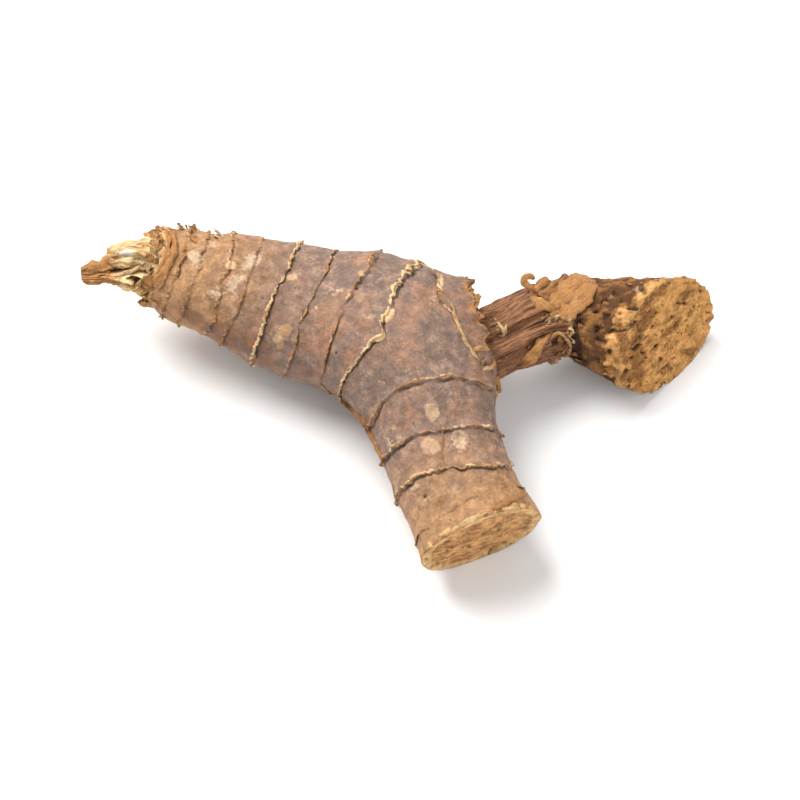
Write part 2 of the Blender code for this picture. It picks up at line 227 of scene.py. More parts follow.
F1_TRACE = ((-1.2, 0.9), (-0.86, 1.6), (-0.43, 2.8), (-0.03, 3.3), (0.25, 3.1), (0.89, 2.7))

STEM_CUT = Knife((10.0, -21.2, 6.9), (0.378, -0.921, -0.093))
BRANCH_CUT = Knife((30.7, 4.7, 6.7), (0.680, -0.610, 0.400))

STEM_RINGS = (
    Ring(2.3, 0.22, 0.4, 0.0, 0.30, 0.12, 0.30),
    Ring(4.3, 0.20, 0.3, 0.6, 0.25, 0.11, 0.25),
    Ring(7.4, 0.38, 0.5, 0.0, 0.45, 0.13, 0.45, A2_TRACE),
    Ring(9.9, 0.36, 0.5, 0.3, 0.40, 0.11, 0.30, A3_TRACE),
    Ring(14.2, 0.40, 0.6, 0.2, 0.45, 0.19, 0.85, A4_TRACE),
    Ring(18.9, 0.36, 0.7, 0.4, 0.50, 0.13, 0.42, A5_TRACE, 0.8),
    Ring(24.0, 0.36, 0.7, 0.2, 0.50, 0.12, 0.40, A6_TRACE, 0.8),
    Ring(29.4, 0.62, 0.7, 0.0, 0.55, 0.27, 0.95, A7_TRACE),
    Ring(38.9, 0.50, 0.5, 3.6, 0.45, 0.19, 0.40, L1_TRACE, 0.25),
    Ring(44.2, 0.46, 0.4, 3.4, 0.50, 0.15, 0.50, L2_TRACE, 0.5),
    Ring(48.6, 0.46, 0.5, 3.0, 0.50, 0.16, 0.65, L3_TRACE, 0.8),
    Ring(53.3, 0.20, 0.2, 1.0, 0.25, 0.08, 0.10),
)
SHEATH_RINGS = (Ring(2.6, 0.75, 1.3, 0.0, 0.70, 0.17, 0.70, F1_TRACE),)
BRANCH_RINGS = (Ring(17.2, 0.60, 0.5, 0.3, 0.70, 0.16, 0.65),)
COLLAR_RIM = Rim(1.4, 0.5, 0.75)
SHEATH_RIM = Rim(0.5, 0.0, 0.70)
# How far a ring's stray reaches, how it zigzags, and how it thins, tears and hollows the bark.
RING_REACH, RING_SHARE, LAST_STRETCH = 0.98, 0.42, 9
SLOW_SHARE, FRAYED_SHARE, TRACED_SHARE, TRACE_FADE = 0.8, 1.2, 0.30, 0.7
RIDGE_MEAN, RIDGE_BROAD, RIDGE_FINE, RIDGE_LEAST = 0.8, 0.7, 0.6, 0.2
SCAR_REACH, GROOVE_AWAY, GROOVE_WIDE = 0.9, 0.16, 0.17
RIM_GAP = 0.6
END_GAP = 0.2
TEAR_START, TEAR_LENGTH, RIM_UNEVEN = 0.9, 1.4, 0.5
# A torn rim's section, from its hollow's floor outwards: places along the limb and past its radius.
RIM_PROFILE = ((2.0, -1.30), (0.45, -0.95), (-0.75, -0.50), (-0.95, -0.10), (-0.30, 0.12))

# The relief: how often it swings round a limb, its sizes and heights, and its places on the branch.
SLOW, MIDDLE, RAGGED, FRAYED = 1.7, 3.2, 4.2, 7.5
LUMP_SIZE, LUMP_HEIGHT = 5.5, 0.42
PEBBLE_SIZE, PEBBLE_HEIGHT = 1.9, 0.13
FURROW_LENGTH, FURROW_DEPTH = 7.5, 0.16
FLATTENING = 0.03
NECK_PLACE, NECK_REACH, NECK_WRINKLE, WRINKLES, WRINKLE_LENGTH = 12.2, 6.5, 0.85, 5.8, 7.0
FLARE_PLACE, FLARE_REACH = 22.0, 8.0
FIBRE_PLACE, FIBRE_REACH, FLARE_FIBRE, NECK_FIBRE = 12.0, 8.0, 0.15, 0.85
FLARE_LOBES = ((-0.75, 0.75, 0.55), (1.9, 0.45, 0.60), (-2.3, 0.40, 0.70), (0.9, -0.35, 0.50))
FLUTE_LENGTH, FLUTE_DEPTH, SHOOT_SWELL = 7.0, 0.42, 1.05
SHOOT_HOLLOW, HOLLOW_ANGLE, HOLLOW_POWER = 0.55, -0.55, 4
BLUNT_FROM, BLUNT_TO, BLUNT_SWELL = 12.9, 14.4, 0.40
TIP_FROM, TIP_TO, TIP_DARKER = 10.9, 12.6, 0.36

# How finely the grids are cut, how far their points keep from the floor, how deep marks go, and how
# wide the fibres' columns are.
FAR, LOOP_FADE, CALM_LENGTH, MERGE_SWELL = 9.0, 0.6, 1.2, 0.22
RIM_ROWS, RIM_FLOOR_ROWS, RIM_SHADED_ROWS = 26, 12, 20
FACE_ROWS, FACE_SPREAD, KNIFE_ROWS = 56, 0.85, 14
FLAKE_ROWS, FLAKE_COLUMNS = 8, 12
FLAKE_STRAY, FLAKE_CURL, FLAKE_THICK = 0.35, (-0.2, 0.25), (0.10, 0.2)
STRIP_STEP, STRIP_COLUMNS, FEWEST_STOPS, FEWEST_HITS, SMOOTHINGS = 0.22, 16, 6, 4, 3
RAY_START = 60
WELD_GAP = 1e-8
FLOOR_GAP, FLOOR_FOLD, SCRAP_FLOOR_GAP = 0.03, 1.12, 0.05
PIT_DEPTH, BLOB_HEIGHT, DARK_DEPTH, SPOT_END = 0.28, 0.12, 2.0, 1.1
BARK_WRAP, FIBRE_WRAP, WRAP_WIDE, WRAP_HIGH = 6, 3, 3.5, 1.5

# A frill's section: each point's place off its ring, its height, and its share of the frill's own.
FRILL_SECTION = (
    (-0.10, -0.15, 0.0), (-0.06, 0.06, 0.35), (0.0, 0.0, 1.0),
    (0.04, 0.0, 1.0), (0.06, 0.05, 0.35), (0.08, -0.15, 0.0),
)
SHORTEST_FRILL, FRILL_FADE = 5, 2.5

STEM_ROOTS = (
    Root(42.1, 0.12, 0.90, 0.16),
    Root(45.8, 0.34, 1.00, 0.18),
    Root(45.5, -0.20, 1.05, 0.18),
    Root(16.5, 0.92, 0.95, 0.20),
    Root(12.4, 2.55, 1.10, 0.35),
    Root(25.4, 2.30, 1.10, 0.45),
    Root(33.5, -2.60, 1.20, 0.40),
    Root(42.0, 2.30, 1.05, 0.35),
    Root(20.6, -1.80, 0.90, 1.00),
    Root(30.0, 2.95, 1.05, 0.40),
)
SHEATH_ROOTS = (Root(1.5, -1.45, 1.00, 0.90),)
BRANCH_ROOTS = (Root(15.6, 2.20, 0.85, 0.70),)


# Marks that only the picture's side shows, by pixel: pale blotches, cream blobs, rusty bark that is
# partly painted shade on the arm's underside, dust, and painted shade in hollows.
PICTURED = {
    "pale": spots_of(
        (458, 404, 1.1, 0.65, 1.0, 0.95), (451, 414, 1.0, 0.45, 1.1, 0.7),
        (447, 424, 0.9, 0.6, 1.0, 0.55), (445, 407, 0.7, 0.5, 0.4, 0.9), (425, 401, 1.1, 0.6, 0.6, 0.7),
        (433, 397, 0.9, 0.4, 0.5, 0.5), (477, 413, 0.75, 0.45, 0.1, 0.85),
        (490, 429, 0.3, 0.18, -0.8, 0.9), (519, 434, 0.8, 0.5, 0.2, 0.55),
        (513, 424, 1.2, 0.7, 0.3, 0.45), (555, 405, 0.35, 0.9, 0.1, 0.8),
        (528, 448, 0.35, 0.2, -0.5, 0.8), (549, 446, 0.7, 0.5, 0.2, 0.4),
        (541, 471, 0.9, 0.4, 0.3, 0.45), (524, 468, 0.8, 0.35, -0.5, 0.4),
        (549.5, 483, 0.85, 1.3, 0.4, 0.95), (550.5, 500.5, 0.95, 0.85, -0.3, 0.85),
        (563.5, 498, 0.95, 0.75, 0.1, 0.9), (530.5, 491, 0.5, 0.4, 0.2, 0.55),
        (541, 521, 0.75, 0.32, 0.6, 0.85), (547, 527, 0.55, 0.40, 0.2, 0.6),
        (584, 521, 0.7, 0.2, 0.3, 0.35), (569, 477, 0.5, 1.2, 0.1, 0.35),
        (560, 430, 0.8, 0.35, 0.7, 0.35), (663, 419, 1.9, 0.7, 0.1, 0.55),
        (614, 427, 1.1, 0.9, 0.3, 0.65),
    ),
    "crest": spots_of(
        (474, 441, 0.95, 0.85, 0.4, 1.0), (446, 407, 0.62, 0.55, 0.3, 0.9),
        (471, 448, 0.5, 0.7, -0.3, 0.8), (513, 411, 0.42, 0.42, 0.0, 0.9),
        (528, 434, 0.95, 0.55, 0.9, 1.0), (523, 445, 0.75, 0.45, 0.7, 1.0),
        (586, 503, 0.55, 0.3, -0.5, 0.9), (581, 501, 0.4, 0.3, 0.5, 0.9), (555, 415, 0.3, 0.8, 0.1, 0.7),
    ),
    "rust": spots_of(
        (446, 408, 0.5, 0.6, 0.2, 0.8), (483, 431, 0.3, 0.55, 0.2, 0.8),
        (500, 405, 1.8, 0.9, -0.3, 0.35), (440, 443, 4.4, 1.9, -0.45, 1.0),
        (456, 448, 4.0, 1.8, -0.4, 0.9), (424, 433, 3.2, 1.5, -0.5, 0.85),
        (462, 456, 3.4, 1.1, -0.4, 0.7), (486, 462, 3.0, 0.9, -0.1, 0.5),
        (575, 536, 2.6, 0.8, 0.4, 0.45), (545, 545, 1.0, 1.6, 0.2, 0.35), (590, 470, 1.2, 3.0, 0.1, 0.6),
    ),
    "dust": spots_of(
        (455, 405, 2.3, 1.2, 1.0, 0.9), (447, 416, 2.6, 1.2, 0.9, 0.85), (438, 421, 2.4, 1.0, 0.3, 0.8),
        (427, 403, 1.8, 1.5, 0.7, 0.85), (435, 396, 1.3, 0.9, 0.4, 0.7), (500, 420, 2.6, 1.6, 0.2, 0.5),
        (552, 425, 2.2, 1.6, 0.5, 0.45), (536, 462, 2.4, 1.3, 0.4, 0.4), (563, 499, 2.0, 1.5, 0.2, 0.65),
        (541, 518, 1.8, 1.2, 0.5, 0.6), (528, 498, 1.4, 1.2, 0.2, 0.5), (663, 420, 2.6, 1.0, 0.1, 0.8),
        (618, 426, 2.0, 1.4, 0.3, 0.4),
    ),
    "dark": spots_of(
        (626, 452, 0.75, 3.4, 0.12, 0.85), (629, 437, 0.6, 1.2, -0.5, 0.6),
        (577, 457.5, 0.5, 0.4, 0.0, 0.9), (616.8, 447.2, 0.85, 0.65, 0.3, 1.0),
        (580, 447, 0.5, 0.35, 0.0, 0.5), (637, 441, 0.4, 0.25, 0.6, 0.8), (631, 462, 0.5, 0.5, 0.3, 0.8),
        (641, 425, 0.5, 0.2, 0.6, 0.7), (647, 421, 0.45, 0.2, -0.4, 0.7), (636, 431, 0.4, 0.2, 0.3, 0.7),
    ),
}
SHOOT_HOLES = spots_of(
    (385.5, 408.5, 1.35, 0.62, 0.05, 0.72), (394.0, 414.5, 1.05, 0.48, -0.15, 1.0),
    (381.0, 404.8, 0.2, 0.2, 0.0, 1.0), (402.0, 409.5, 0.7, 0.22, 0.9, 0.8),
    (405.0, 396.5, 0.7, 0.16, 0.8, 0.6), (399.0, 404.0, 0.5, 0.14, 0.5, 0.4),
    (376.0, 411.5, 0.5, 0.10, 0.1, 0.6),
)
SHOOT_WHITES = spots_of(
    (390.0, 400.0, 1.0, 0.5, 0.1, 1.0), (397.0, 404.5, 0.9, 0.6, 0.2, 0.7),
)
PITS = spots_of(
    (500, 453, 0.16, 0.16, 0.0, 1.0), (546, 526, 0.26, 0.24, 0.0, 1.0), (540, 489, 0.14, 0.16, 0.0, 0.9),
    (511, 419, 0.20, 0.20, 0.0, 0.9), (481, 419, 0.16, 0.14, 0.0, 0.7),
    (550, 481, 0.42, 0.50, 0.0, 0.28), (551, 501, 0.35, 0.32, 0.0, 0.30),
)


def perlin(points: Array) -> Array:
    """Blender's noise at many points, from -1 to 1.

    Args:
        points: an array whose last axis is x, y, z.

    Returns:
        An array of the other axes' shape.
    """
    flat = np.ascontiguousarray(points, dtype=float).reshape(-1, 3).tolist()
    values = np.fromiter(map(noise.noise, flat), float, count=len(flat))
    return values.reshape(points.shape[:-1])


def wrapped(angle: Array, depth: Array, radius: float) -> Array:
    """Points on a round column, so that what is read there closes on itself."""
    return np.stack((radius * np.cos(angle), radius * np.sin(angle), depth), axis=-1)


def noise_round(angle: Array, swings: float, depth: Array | float) -> Array:
    """Noise that closes on itself round a limb.

    Args:
        angle: the angles round the limb.
        swings: about how often it swings in a quarter turn.
        depth: where along the noise it is read.

    Returns:
        The noise, from -1 to 1, in the shape of angle and depth together.
    """
    angle, depth = np.broadcast_arrays(angle, depth)
    return perlin(wrapped(angle, depth, swings))


def smooth(low: float, high: float, value: Array) -> Array:
    """A smooth step from 0 at low to 1 at high, at each value."""
    share = np.clip((value - low) / (high - low), 0.0, 1.0)
    return share * share * (3 - 2 * share)


def centred(angle: Array) -> Array:
    """The angles, from minus half a turn to half a turn."""
    return (angle + math.pi) % FULL_TURN - math.pi


def unit(vectors: Array) -> Array:
    """The vectors at length 1."""
    return vectors / np.linalg.norm(vectors, axis=-1, keepdims=True)


def angles_of(columns: int) -> Array:
    """One angle for each column round a piece."""
    return FULL_TURN * np.arange(columns) / columns


def run_along(line: Array) -> Array:
    """How far along a line each of its points is."""
    return np.concatenate(([0.0], np.cumsum(np.linalg.norm(np.diff(line, axis=0), axis=1))))


def closed(points: Array) -> Array:
    """The rows of points, with one more at each end that is drawn together in its middle."""
    start, end = (np.broadcast_to(points[at].mean(axis=0), points[:1].shape) for at in (0, -1))
    return np.concatenate((start, points, end))


def linked(name: str, data: bpy.types.ID) -> bpy.types.Object:
    """Puts a new object into the scene.

    Args:
        name: its name.
        data: its mesh, light or camera.

    Returns:
        The object.
    """
    made = bpy.data.objects.new(name, data)
    bpy.context.scene.collection.objects.link(made)
    return made


def read_rows(values: Array, source: Array) -> Array:
    """Reads a grid between its rows.

    Args:
        values: rows by columns, with any further axes.
        source: row numbers, with fractions, for each row and column of the result.

    Returns:
        The values there.
    """
    row = np.clip(np.floor(source).astype(int), 0, len(values) - 2)
    share = source - row
    column = np.broadcast_to(np.arange(source.shape[1]), source.shape)
    share = share.reshape(share.shape + (1,) * (values.ndim - 2))
    return values[row, column] * (1 - share) + values[row + 1, column] * share


def in_picture(points: Array) -> tuple[Array, Array]:
    """Where points show in the picture.

    Args:
        points: positions in millimetres, in the part's frame.

    Returns:
        The pixel columns and the pixel rows.
    """
    local = points - SHIFT
    x = PICTURE_CENTRE[0] + local[..., 0] / MM_PER_PIXEL
    y = PICTURE_CENTRE[1] - (local @ PICTURE_UP) / MM_PER_PIXEL
    return x, y


def spot_mask(spots: Sequence[Spot], x: Array, y: Array, edge: Array, inner: float = 0.75) -> Array:
    """How strongly marks cover points of the picture.

    Args:
        spots: the marks.
        x: pixel columns.
        y: pixel rows.
        edge: an unevenness that is added to the distance from each mark's middle.
        inner: where each mark starts to fade, as a share of its size.

    Returns:
        The cover, from 0 to 1.
    """
    cover = np.zeros(x.shape)
    for spot in spots:
        across = (x - spot.x) * MM_PER_PIXEL
        up = (spot.y - y) * MM_PER_PIXEL
        along = across * math.cos(spot.turn) + up * math.sin(spot.turn)
        off = up * math.cos(spot.turn) - across * math.sin(spot.turn)
        reach = np.hypot(along / spot.wide, off / spot.high) + edge
        cover = np.maximum(cover, spot.strength * (1 - smooth(inner, SPOT_END, reach)))
    return cover


class Limb:
    """A smooth centre line with a radius, rings and bark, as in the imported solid."""

    SAMPLES = 24
    DIRECTION_SPAN = 8
    CHUNK = 16384

    def __init__(
        self,
        line: Sequence[tuple],
        zero_point: int = 0,
        rings: Sequence[Ring] = (),
        seed: float = 0.0,
    ) -> None:
        """Samples the centre line.

        Args:
            line: x, y, z and radius at each of its points, in millimetres.
            zero_point: the point that places are measured from.
            rings: its leaf-scar rings.
            seed: where its noise is read.
        """
        self.rings = rings
        self.seed = seed
        rows = np.array(line, dtype=float)
        rows = np.vstack((2 * rows[0] - rows[1], rows, 2 * rows[-1] - rows[-2]))
        share = (np.arange(self.SAMPLES) / self.SAMPLES)[:, None]
        spans = []
        for a, b, c, d in zip(rows, rows[1:], rows[2:], rows[3:]):
            linear = (c - a) * share
            square = (2 * a - 5 * b + 4 * c - d) * share**2
            cube = (3 * b - a - 3 * c + d) * share**3
            spans.append(0.5 * (2 * b + linear + square + cube))
        self.samples = np.vstack((*spans, rows[-2]))
        self.lengths = run_along(self.samples[:, :3])
        self.lengths -= self.lengths[zero_point * self.SAMPLES]
        last = len(self.lengths) - 2
        index = np.arange(last + 1)
        behind = self.samples[np.maximum(index - self.DIRECTION_SPAN, 0), :3]
        ahead = self.samples[np.minimum(index + self.DIRECTION_SPAN + 1, last + 1), :3]
        self.directions = unit(ahead - behind)

    def frame(self, place: Array) -> tuple[Array, ...]:
        """The centre, top, side and radius at places along the limb.

        Args:
            place: places along it.

        Returns:
            Arrays of centres, of the directions to its top and to its side, and of radii.
        """
        last = len(self.lengths) - 2
        index = np.clip(np.searchsorted(self.lengths, place, side="right") - 1, 0, last)
        span = self.lengths[index + 1] - self.lengths[index]
        share = ((place - self.lengths[index]) / span)[..., None]
        here = self.samples[index] * (1 - share) + self.samples[index + 1] * share
        along = self.directions[index]
        side = unit(np.cross(along, (0.0, 0.0, 1.0)))
        return here[..., :3], np.cross(side, along), side, here[..., 3]

    def outward(self, place: Array, angle: Array) -> tuple[Array, ...]:
        """The centres at places, the directions out of them at angles from the top, and the radii."""
        centre, top, side, radius = self.frame(place)
        return centre, np.cos(angle)[..., None] * top + np.sin(angle)[..., None] * side, radius

    def wander(self, ring: Ring, angle: Array) -> Array:
        """How far a ring strays along the limb.

        Args:
            ring: the ring.
            angle: angles from the limb's top.

        Returns:
            The strays in millimetres.
        """
        depth = ring.place + self.seed
        slow = noise_round(angle, SLOW, depth)
        zigzag = SLOW_SHARE * slow + FRAYED_SHARE * noise_round(angle, FRAYED, depth)
        stray = ring.lean * np.cos(angle - ring.lean_angle) + ring.ragged * zigzag
        if not ring.trace:
            return stray
        angles, places = np.array(ring.trace).T
        turned = centred(angle)
        outside = np.maximum(np.maximum(angles[0] - turned, turned - angles[-1]), 0.0)
        hidden = smooth(0.0, TRACE_FADE, outside)
        followed = np.interp(turned, angles, places) - ring.place + TRACED_SHARE * ring.ragged * zigzag
        return hidden * stray + (1 - hidden) * followed

    def warp(self, place: Array, angle: Array) -> Array:
        """The stray of the nearest rings, blended over the bark between them.

        Args:
            place: one place for each row.
            angle: one angle for each column.

        Returns:
            An array of rows by columns.
        """
        strays = np.array([self.wander(ring, angle) for ring in self.rings])
        places = np.array([ring.place for ring in self.rings])
        gaps = np.diff(places, append=places[-1] + LAST_STRETCH)
        reach = np.minimum(RING_REACH, RING_SHARE * gaps)
        before = np.insert(reach[:-1], 0, RING_REACH)
        knots = np.stack((places - before, places + reach), axis=1).ravel()
        levels = np.repeat(strays, 2, axis=0)
        index = np.clip(np.searchsorted(knots, place) - 1, 0, len(knots) - 2)
        share = np.clip((place - knots[index]) / (knots[index + 1] - knots[index]), 0, 1)[:, None]
        return levels[index] * (1 - share) + levels[index + 1] * share

    def bark(self, place: Array, angle: Array) -> Array:
        """The uneven bark: lumps, pebbles, furrows and an oval.

        Args:
            place: places along it.
            angle: angles from its top.

        Returns:
            The heights over the limb's radius.
        """
        centre, out, radius = self.outward(place, angle)
        point = centre + radius[..., None] * out
        lumps = LUMP_HEIGHT * perlin(point / LUMP_SIZE + np.array((self.seed, 0, 0)))
        pebbles = PEBBLE_HEIGHT * perlin(point / PEBBLE_SIZE)
        furrows = -FURROW_DEPTH * np.abs(noise_round(angle, MIDDLE, place / FURROW_LENGTH))
        return lumps + pebbles + furrows - FLATTENING * radius * np.cos(2 * angle)

    def ridge(self, ring: Ring, angle: Array) -> Array:
        """How a ring thins and breaks as it goes round.

        Args:
            ring: the ring.
            angle: angles from the limb's top.

        Returns:
            Its heights there.
        """
        broad = noise_round(angle, MIDDLE, 2 * ring.place + self.seed)
        fine = noise_round(angle, FRAYED, 3 * ring.place + self.seed)
        uneven = RIDGE_MEAN + RIDGE_BROAD * broad + RIDGE_FINE * fine
        return ring.height * np.maximum(uneven, RIDGE_LEAST)

    def distance(self, points: Array) -> Array:
        """How far points are outside the limb's plain radius, inside being negative.

        Args:
            points: an array whose last axis is x, y, z, in the tables' frame.

        Returns:
            The distances in millimetres, in the shape of the other axes.
        """
        flat = points.reshape(-1, 3)
        found = np.empty(len(flat))
        for start in range(0, len(flat), self.CHUNK):
            chunk = slice(start, start + self.CHUNK)
            part = flat[chunk, None, :] - self.samples[None, :, :3]
            apart = np.linalg.norm(part, axis=2) - self.samples[None, :, 3]
            found[chunk] = apart.min(axis=1)
        return found.reshape(points.shape[:-1])


@dataclass
class Skin:
    """A grid of points wrapped round a limb, with what its finish has to know at each of them."""

    points: Array
    marks: MarkSet
    wrap: Array

    def build(self, name: str) -> bpy.types.Object:
        """Wraps a flat grid into the closed shape: its long edges meet, its ends come to a point.

        Args:
            name: the new object's name.

        Returns:
            The object, with a point attribute for each mark.
        """
        rows, columns = self.points.shape[:2]
        mesh = bmesh.new()
        bmesh.ops.create_grid(mesh, x_segments=columns, y_segments=rows - 1, size=0.5)
        source = mesh.verts.layers.int.new("source")
        places = self.points * MM
        for vert in mesh.verts:
            row = round((vert.co.y + 0.5) * (rows - 1))
            column = round((vert.co.x + 0.5) * columns) % columns
            vert[source] = row * columns + column
            vert.co = places[row, column]
        bmesh.ops.remove_doubles(mesh, verts=mesh.verts, dist=WELD_GAP)
        bmesh.ops.recalc_face_normals(mesh, faces=mesh.faces)
        data = bpy.data.meshes.new(name)
        mesh.to_mesh(data)
        mesh.free()
        order = np.empty(len(data.vertices), dtype=np.int32)
        data.attributes["source"].data.foreach_get("value", order)
        data.attributes.remove(data.attributes["source"])
        for key, values in self.marks.items():
            layer = data.attributes.new(key, "FLOAT", "POINT")
            layer.data.foreach_set("value", values.reshape(-1)[order].astype(np.float32))
        layer = data.attributes.new("wrap", "FLOAT_VECTOR", "POINT")
        layer.data.foreach_set("vector", self.wrap.reshape(-1, 3)[order].astype(np.float32).ravel())
        data.shade_smooth()
        return linked(name, data)


class Marks(str, Enum):
    """The point attributes that the bark's finish reads."""

    CREST = "crest"
    CREAM = "cream"
    # The next mark is painted shade in the dip beside each ring and along the middle of strips.
    GROOVE = "groove"
    PALE = "pale"
    WARM = "warm"
    CUT = "cut"
    BAND = "band"
    # The next mark is painted shade in hollows, cracks, splits, pores and tears.
    DARK = "dark"
    # The next mark is tone; on the sponge and the torn shoot it also holds painted light and shade.
    SHADE = "shade"
    FIBRE = "fibre"
    # The next mark is rusty bark, partly painted shade on the arm's underside.
    RUST = "rust"
    SPONGE = "sponge"
    DUST = "dust"


def blank(shape: tuple[int, ...]) -> MarkSet:
    """A zero for every mark at every point."""
    return {mark.value: np.zeros(shape) for mark in Marks}


@dataclass
class BarkLimb:
    """One bark-covered limb: its loops, its relief and its marks.

    Its loops are coarse between the rings and fine at them. Its form, fibres and warmth vary along
    it, its bark swells where other limbs merge with it, and its edge is bare next to a cut.
    """

    name: str
    limb: Limb
    columns: int
    coarse: float
    fine: float
    zigzag: float = 0.30
    roots: Sequence[Root] = ()
    rim: Rim | None = None
    knife: Knife | None = None
    face: "CutFace | None" = None
    form: Callable[[Array, Array], Array] | None = None
    fibres: Callable[[Array], Array] | None = None
    warmth: Callable[[Array], Array] = np.zeros_like
    sponge_from: float | None = None
    merge: tuple[Limb, ...] = ()
    merge_reach: float = 3.4
    bare_edge: float = 0.5
    bare_fade: float = 0.35
    rim_bare: float = 1.0
    crests: list = field(default_factory=list)
    stops: Array | None = None
    reach: float = 0.75

    def places(self, first: float, last: float) -> Array:
        """Where the loops go: close together at the rings and further apart between them.

        Args:
            first: the first loop's place.
            last: the last loop's place.

        Returns:
            Their places along the limb.
        """
        rows = [first]
        while rows[-1] < last:
            near = min((abs(rows[-1] - ring.place) for ring in self.limb.rings), default=FAR)
            share = min(max((near - self.reach) / LOOP_FADE, 0.0), 1.0)
            rows.append(rows[-1] + self.fine + (self.coarse - self.fine) * share)
        rows[-1] = last
        return np.array(rows)

    def ring_relief(self, place: Array, angle: Array) -> tuple[Array, ...]:
        """The leaf scars' relief and colour.

        Args:
            place: one place for each row.
            angle: one angle for each column.

        Returns:
            Their heights, crests, creaminess, the painted shade of the dips beside them and quick zigzags.
        """
        shape = (len(place), len(angle))
        height, crest, cream, groove, stray = (np.zeros(shape) for _ in range(5))
        for ring in self.limb.rings:
            seed = ring.place * 1.7 + self.limb.seed
            off = (place - ring.place)[:, None]
            strength = (self.limb.ridge(ring, angle) / ring.height)[None, :]
            patchy = noise_round(angle, 9.0, seed)[None, :]
            wide = ring.wide * np.clip(0.7 + 0.3 * strength + 1.1 * patchy, 0.45, 2.4)
            teeth = noise_round(angle, 15.0, seed) + 0.6 * noise_round(angle, 31.0, seed + 4)
            torn = self.zigzag * ring.jag * min(1.4, 0.5 + ring.cream)
            near = np.exp(-((off / SCAR_REACH) ** 2))
            stray += torn * teeth[None, :] * near
            rise = smooth(-1.2, -0.1, off) * (1 - smooth(0.0, 0.28, off))
            tip = np.exp(-((off / wide) ** 2))
            dip = np.exp(-(((off - GROOVE_AWAY - wide) / GROOVE_WIDE) ** 2))
            chips = 0.75 + 0.9 * noise_round(angle[None, :], 24.0, off * 2.2 + seed)
            height += ring.height * (0.45 * rise * strength - 0.30 * dip)
            height += (0.04 + 0.6 * wide) * tip * np.clip(chips, 0.1, 1.6)
            seen = np.clip(0.55 + 0.35 * strength + 0.9 * noise_round(angle, 6.0, seed + 2), 0.0, 1.0)
            bright = tip * np.clip(chips + 0.2, 0.3, 1.1) * seen * min(1.0, 0.35 + ring.cream)
            crest = np.maximum(crest, bright)
            light = np.clip(ring.cream + 0.5 * patchy + 0.25 * noise_round(angle, 4.0, seed + 6), 0, 1)
            cream = np.maximum(cream, light * near)
            # Painted shade: the dip beside each ring's crest is darkened.
            groove = np.maximum(groove, dip * np.clip(strength * (0.3 + ring.cream), 0.2, 1.0))
        return height, crest, cream, groove, stray

    def root_relief(self, place: Array, angle: Array) -> tuple[Array, ...]:
        """The relief of root scars and stumps.

        Args:
            place: one place for each row.
            angle: one angle for each column.

        Returns:
            Their heights, and how much each point is on one and in the hollow of one.
        """
        height = np.zeros((len(place), len(angle)))
        cover = np.zeros(height.shape)
        hollow = np.zeros(height.shape)
        for root in self.roots:
            around = centred(angle - root.angle)
            radius = float(self.limb.frame(np.array([root.place]))[3][0])
            turned = (around * radius)[None, :]
            off = (place - root.place)[:, None]
            uneven = 0.34 * noise_round(np.arctan2(turned, off), 1.3, root.place)
            away = np.hypot(turned, off) / root.radius + uneven
            lip = np.exp(-(((away - 0.80) / 0.20) ** 2))
            stand = 1 - smooth(0.85, 1.25, away)
            height += root.height * 0.8 * stand + 0.07 * lip - 0.08 * (1 - smooth(0.2, 0.6, away))
            cover = np.maximum(cover, 1 - smooth(0.95, 1.2, away))
            hollow = np.maximum(hollow, 1 - smooth(0.05, 0.42, away))
        return height, cover, hollow

    def surface(self, place: Array, angle: Array, raised: Array) -> Array:
        """The points of the bark.

        Args:
            place: places along it.
            angle: angles from its top.
            raised: how far each point is raised over the bark.

        Returns:
            The points, in the tables' frame.
        """
        centre, out, radius = self.limb.outward(place, angle)
        height = self.limb.bark(place, angle) + raised
        if self.form is not None:
            height = height + self.form(place, angle)
        return centre + out * (radius + height)[..., None]

    def pebbles(self, points: Array) -> Array:
        """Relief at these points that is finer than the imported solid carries."""
        pits = np.clip(perlin(points / 0.62 + 31) - 0.52, 0.0, 1.0)
        return 0.055 * perlin(points / 0.95) + 0.032 * perlin(points / 0.42 + 7) - 0.5 * pits

    def rows(self) -> tuple[Array, MarkSet, Array]:
        """The bark from its first loop to its last.

        Returns:
            Its points, marks and wrap.
        """
        angle = angles_of(self.columns)
        first = RIM_GAP if self.rim else END_GAP
        place = self.places(first, self.limb.lengths[-1] - END_GAP)
        height, crest, cream, groove, quick = self.ring_relief(place, angle)
        root_height, root_cover, root_hollow = self.root_relief(place, angle)
        calm = smooth(first, first + CALM_LENGTH, place)[:, None]
        strayed = place[:, None] + self.limb.warp(place, angle) + quick * calm
        grid = np.broadcast_to(angle, strayed.shape)
        marks = blank(strayed.shape)
        raised = height * calm + root_height
        if self.fibres is not None:
            raised = raised - self.split(self.fibres(place)[:, None], strayed, grid, marks)
        if self.sponge_from is not None:
            raised = raised + self.crumble(strayed, grid, raised, marks)
        marks["warm"] = np.repeat(self.warmth(place)[:, None], self.columns, axis=1)
        points = self.surface(strayed, grid, raised)
        points = points + unit(points - self.limb.frame(strayed)[0]) * self.pebbles(points)[..., None]
        self.stops = place
        marks["crest"] = crest * calm
        marks["cream"] = cream
        marks["groove"] = groove * calm
        marks["pale"] = 0.55 * root_cover
        # Painted shade in the hollows of the root scars.
        marks["dark"] = np.maximum(marks["dark"], 0.35 * root_hollow)
        return points, marks, wrapped(grid, strayed, BARK_WRAP)

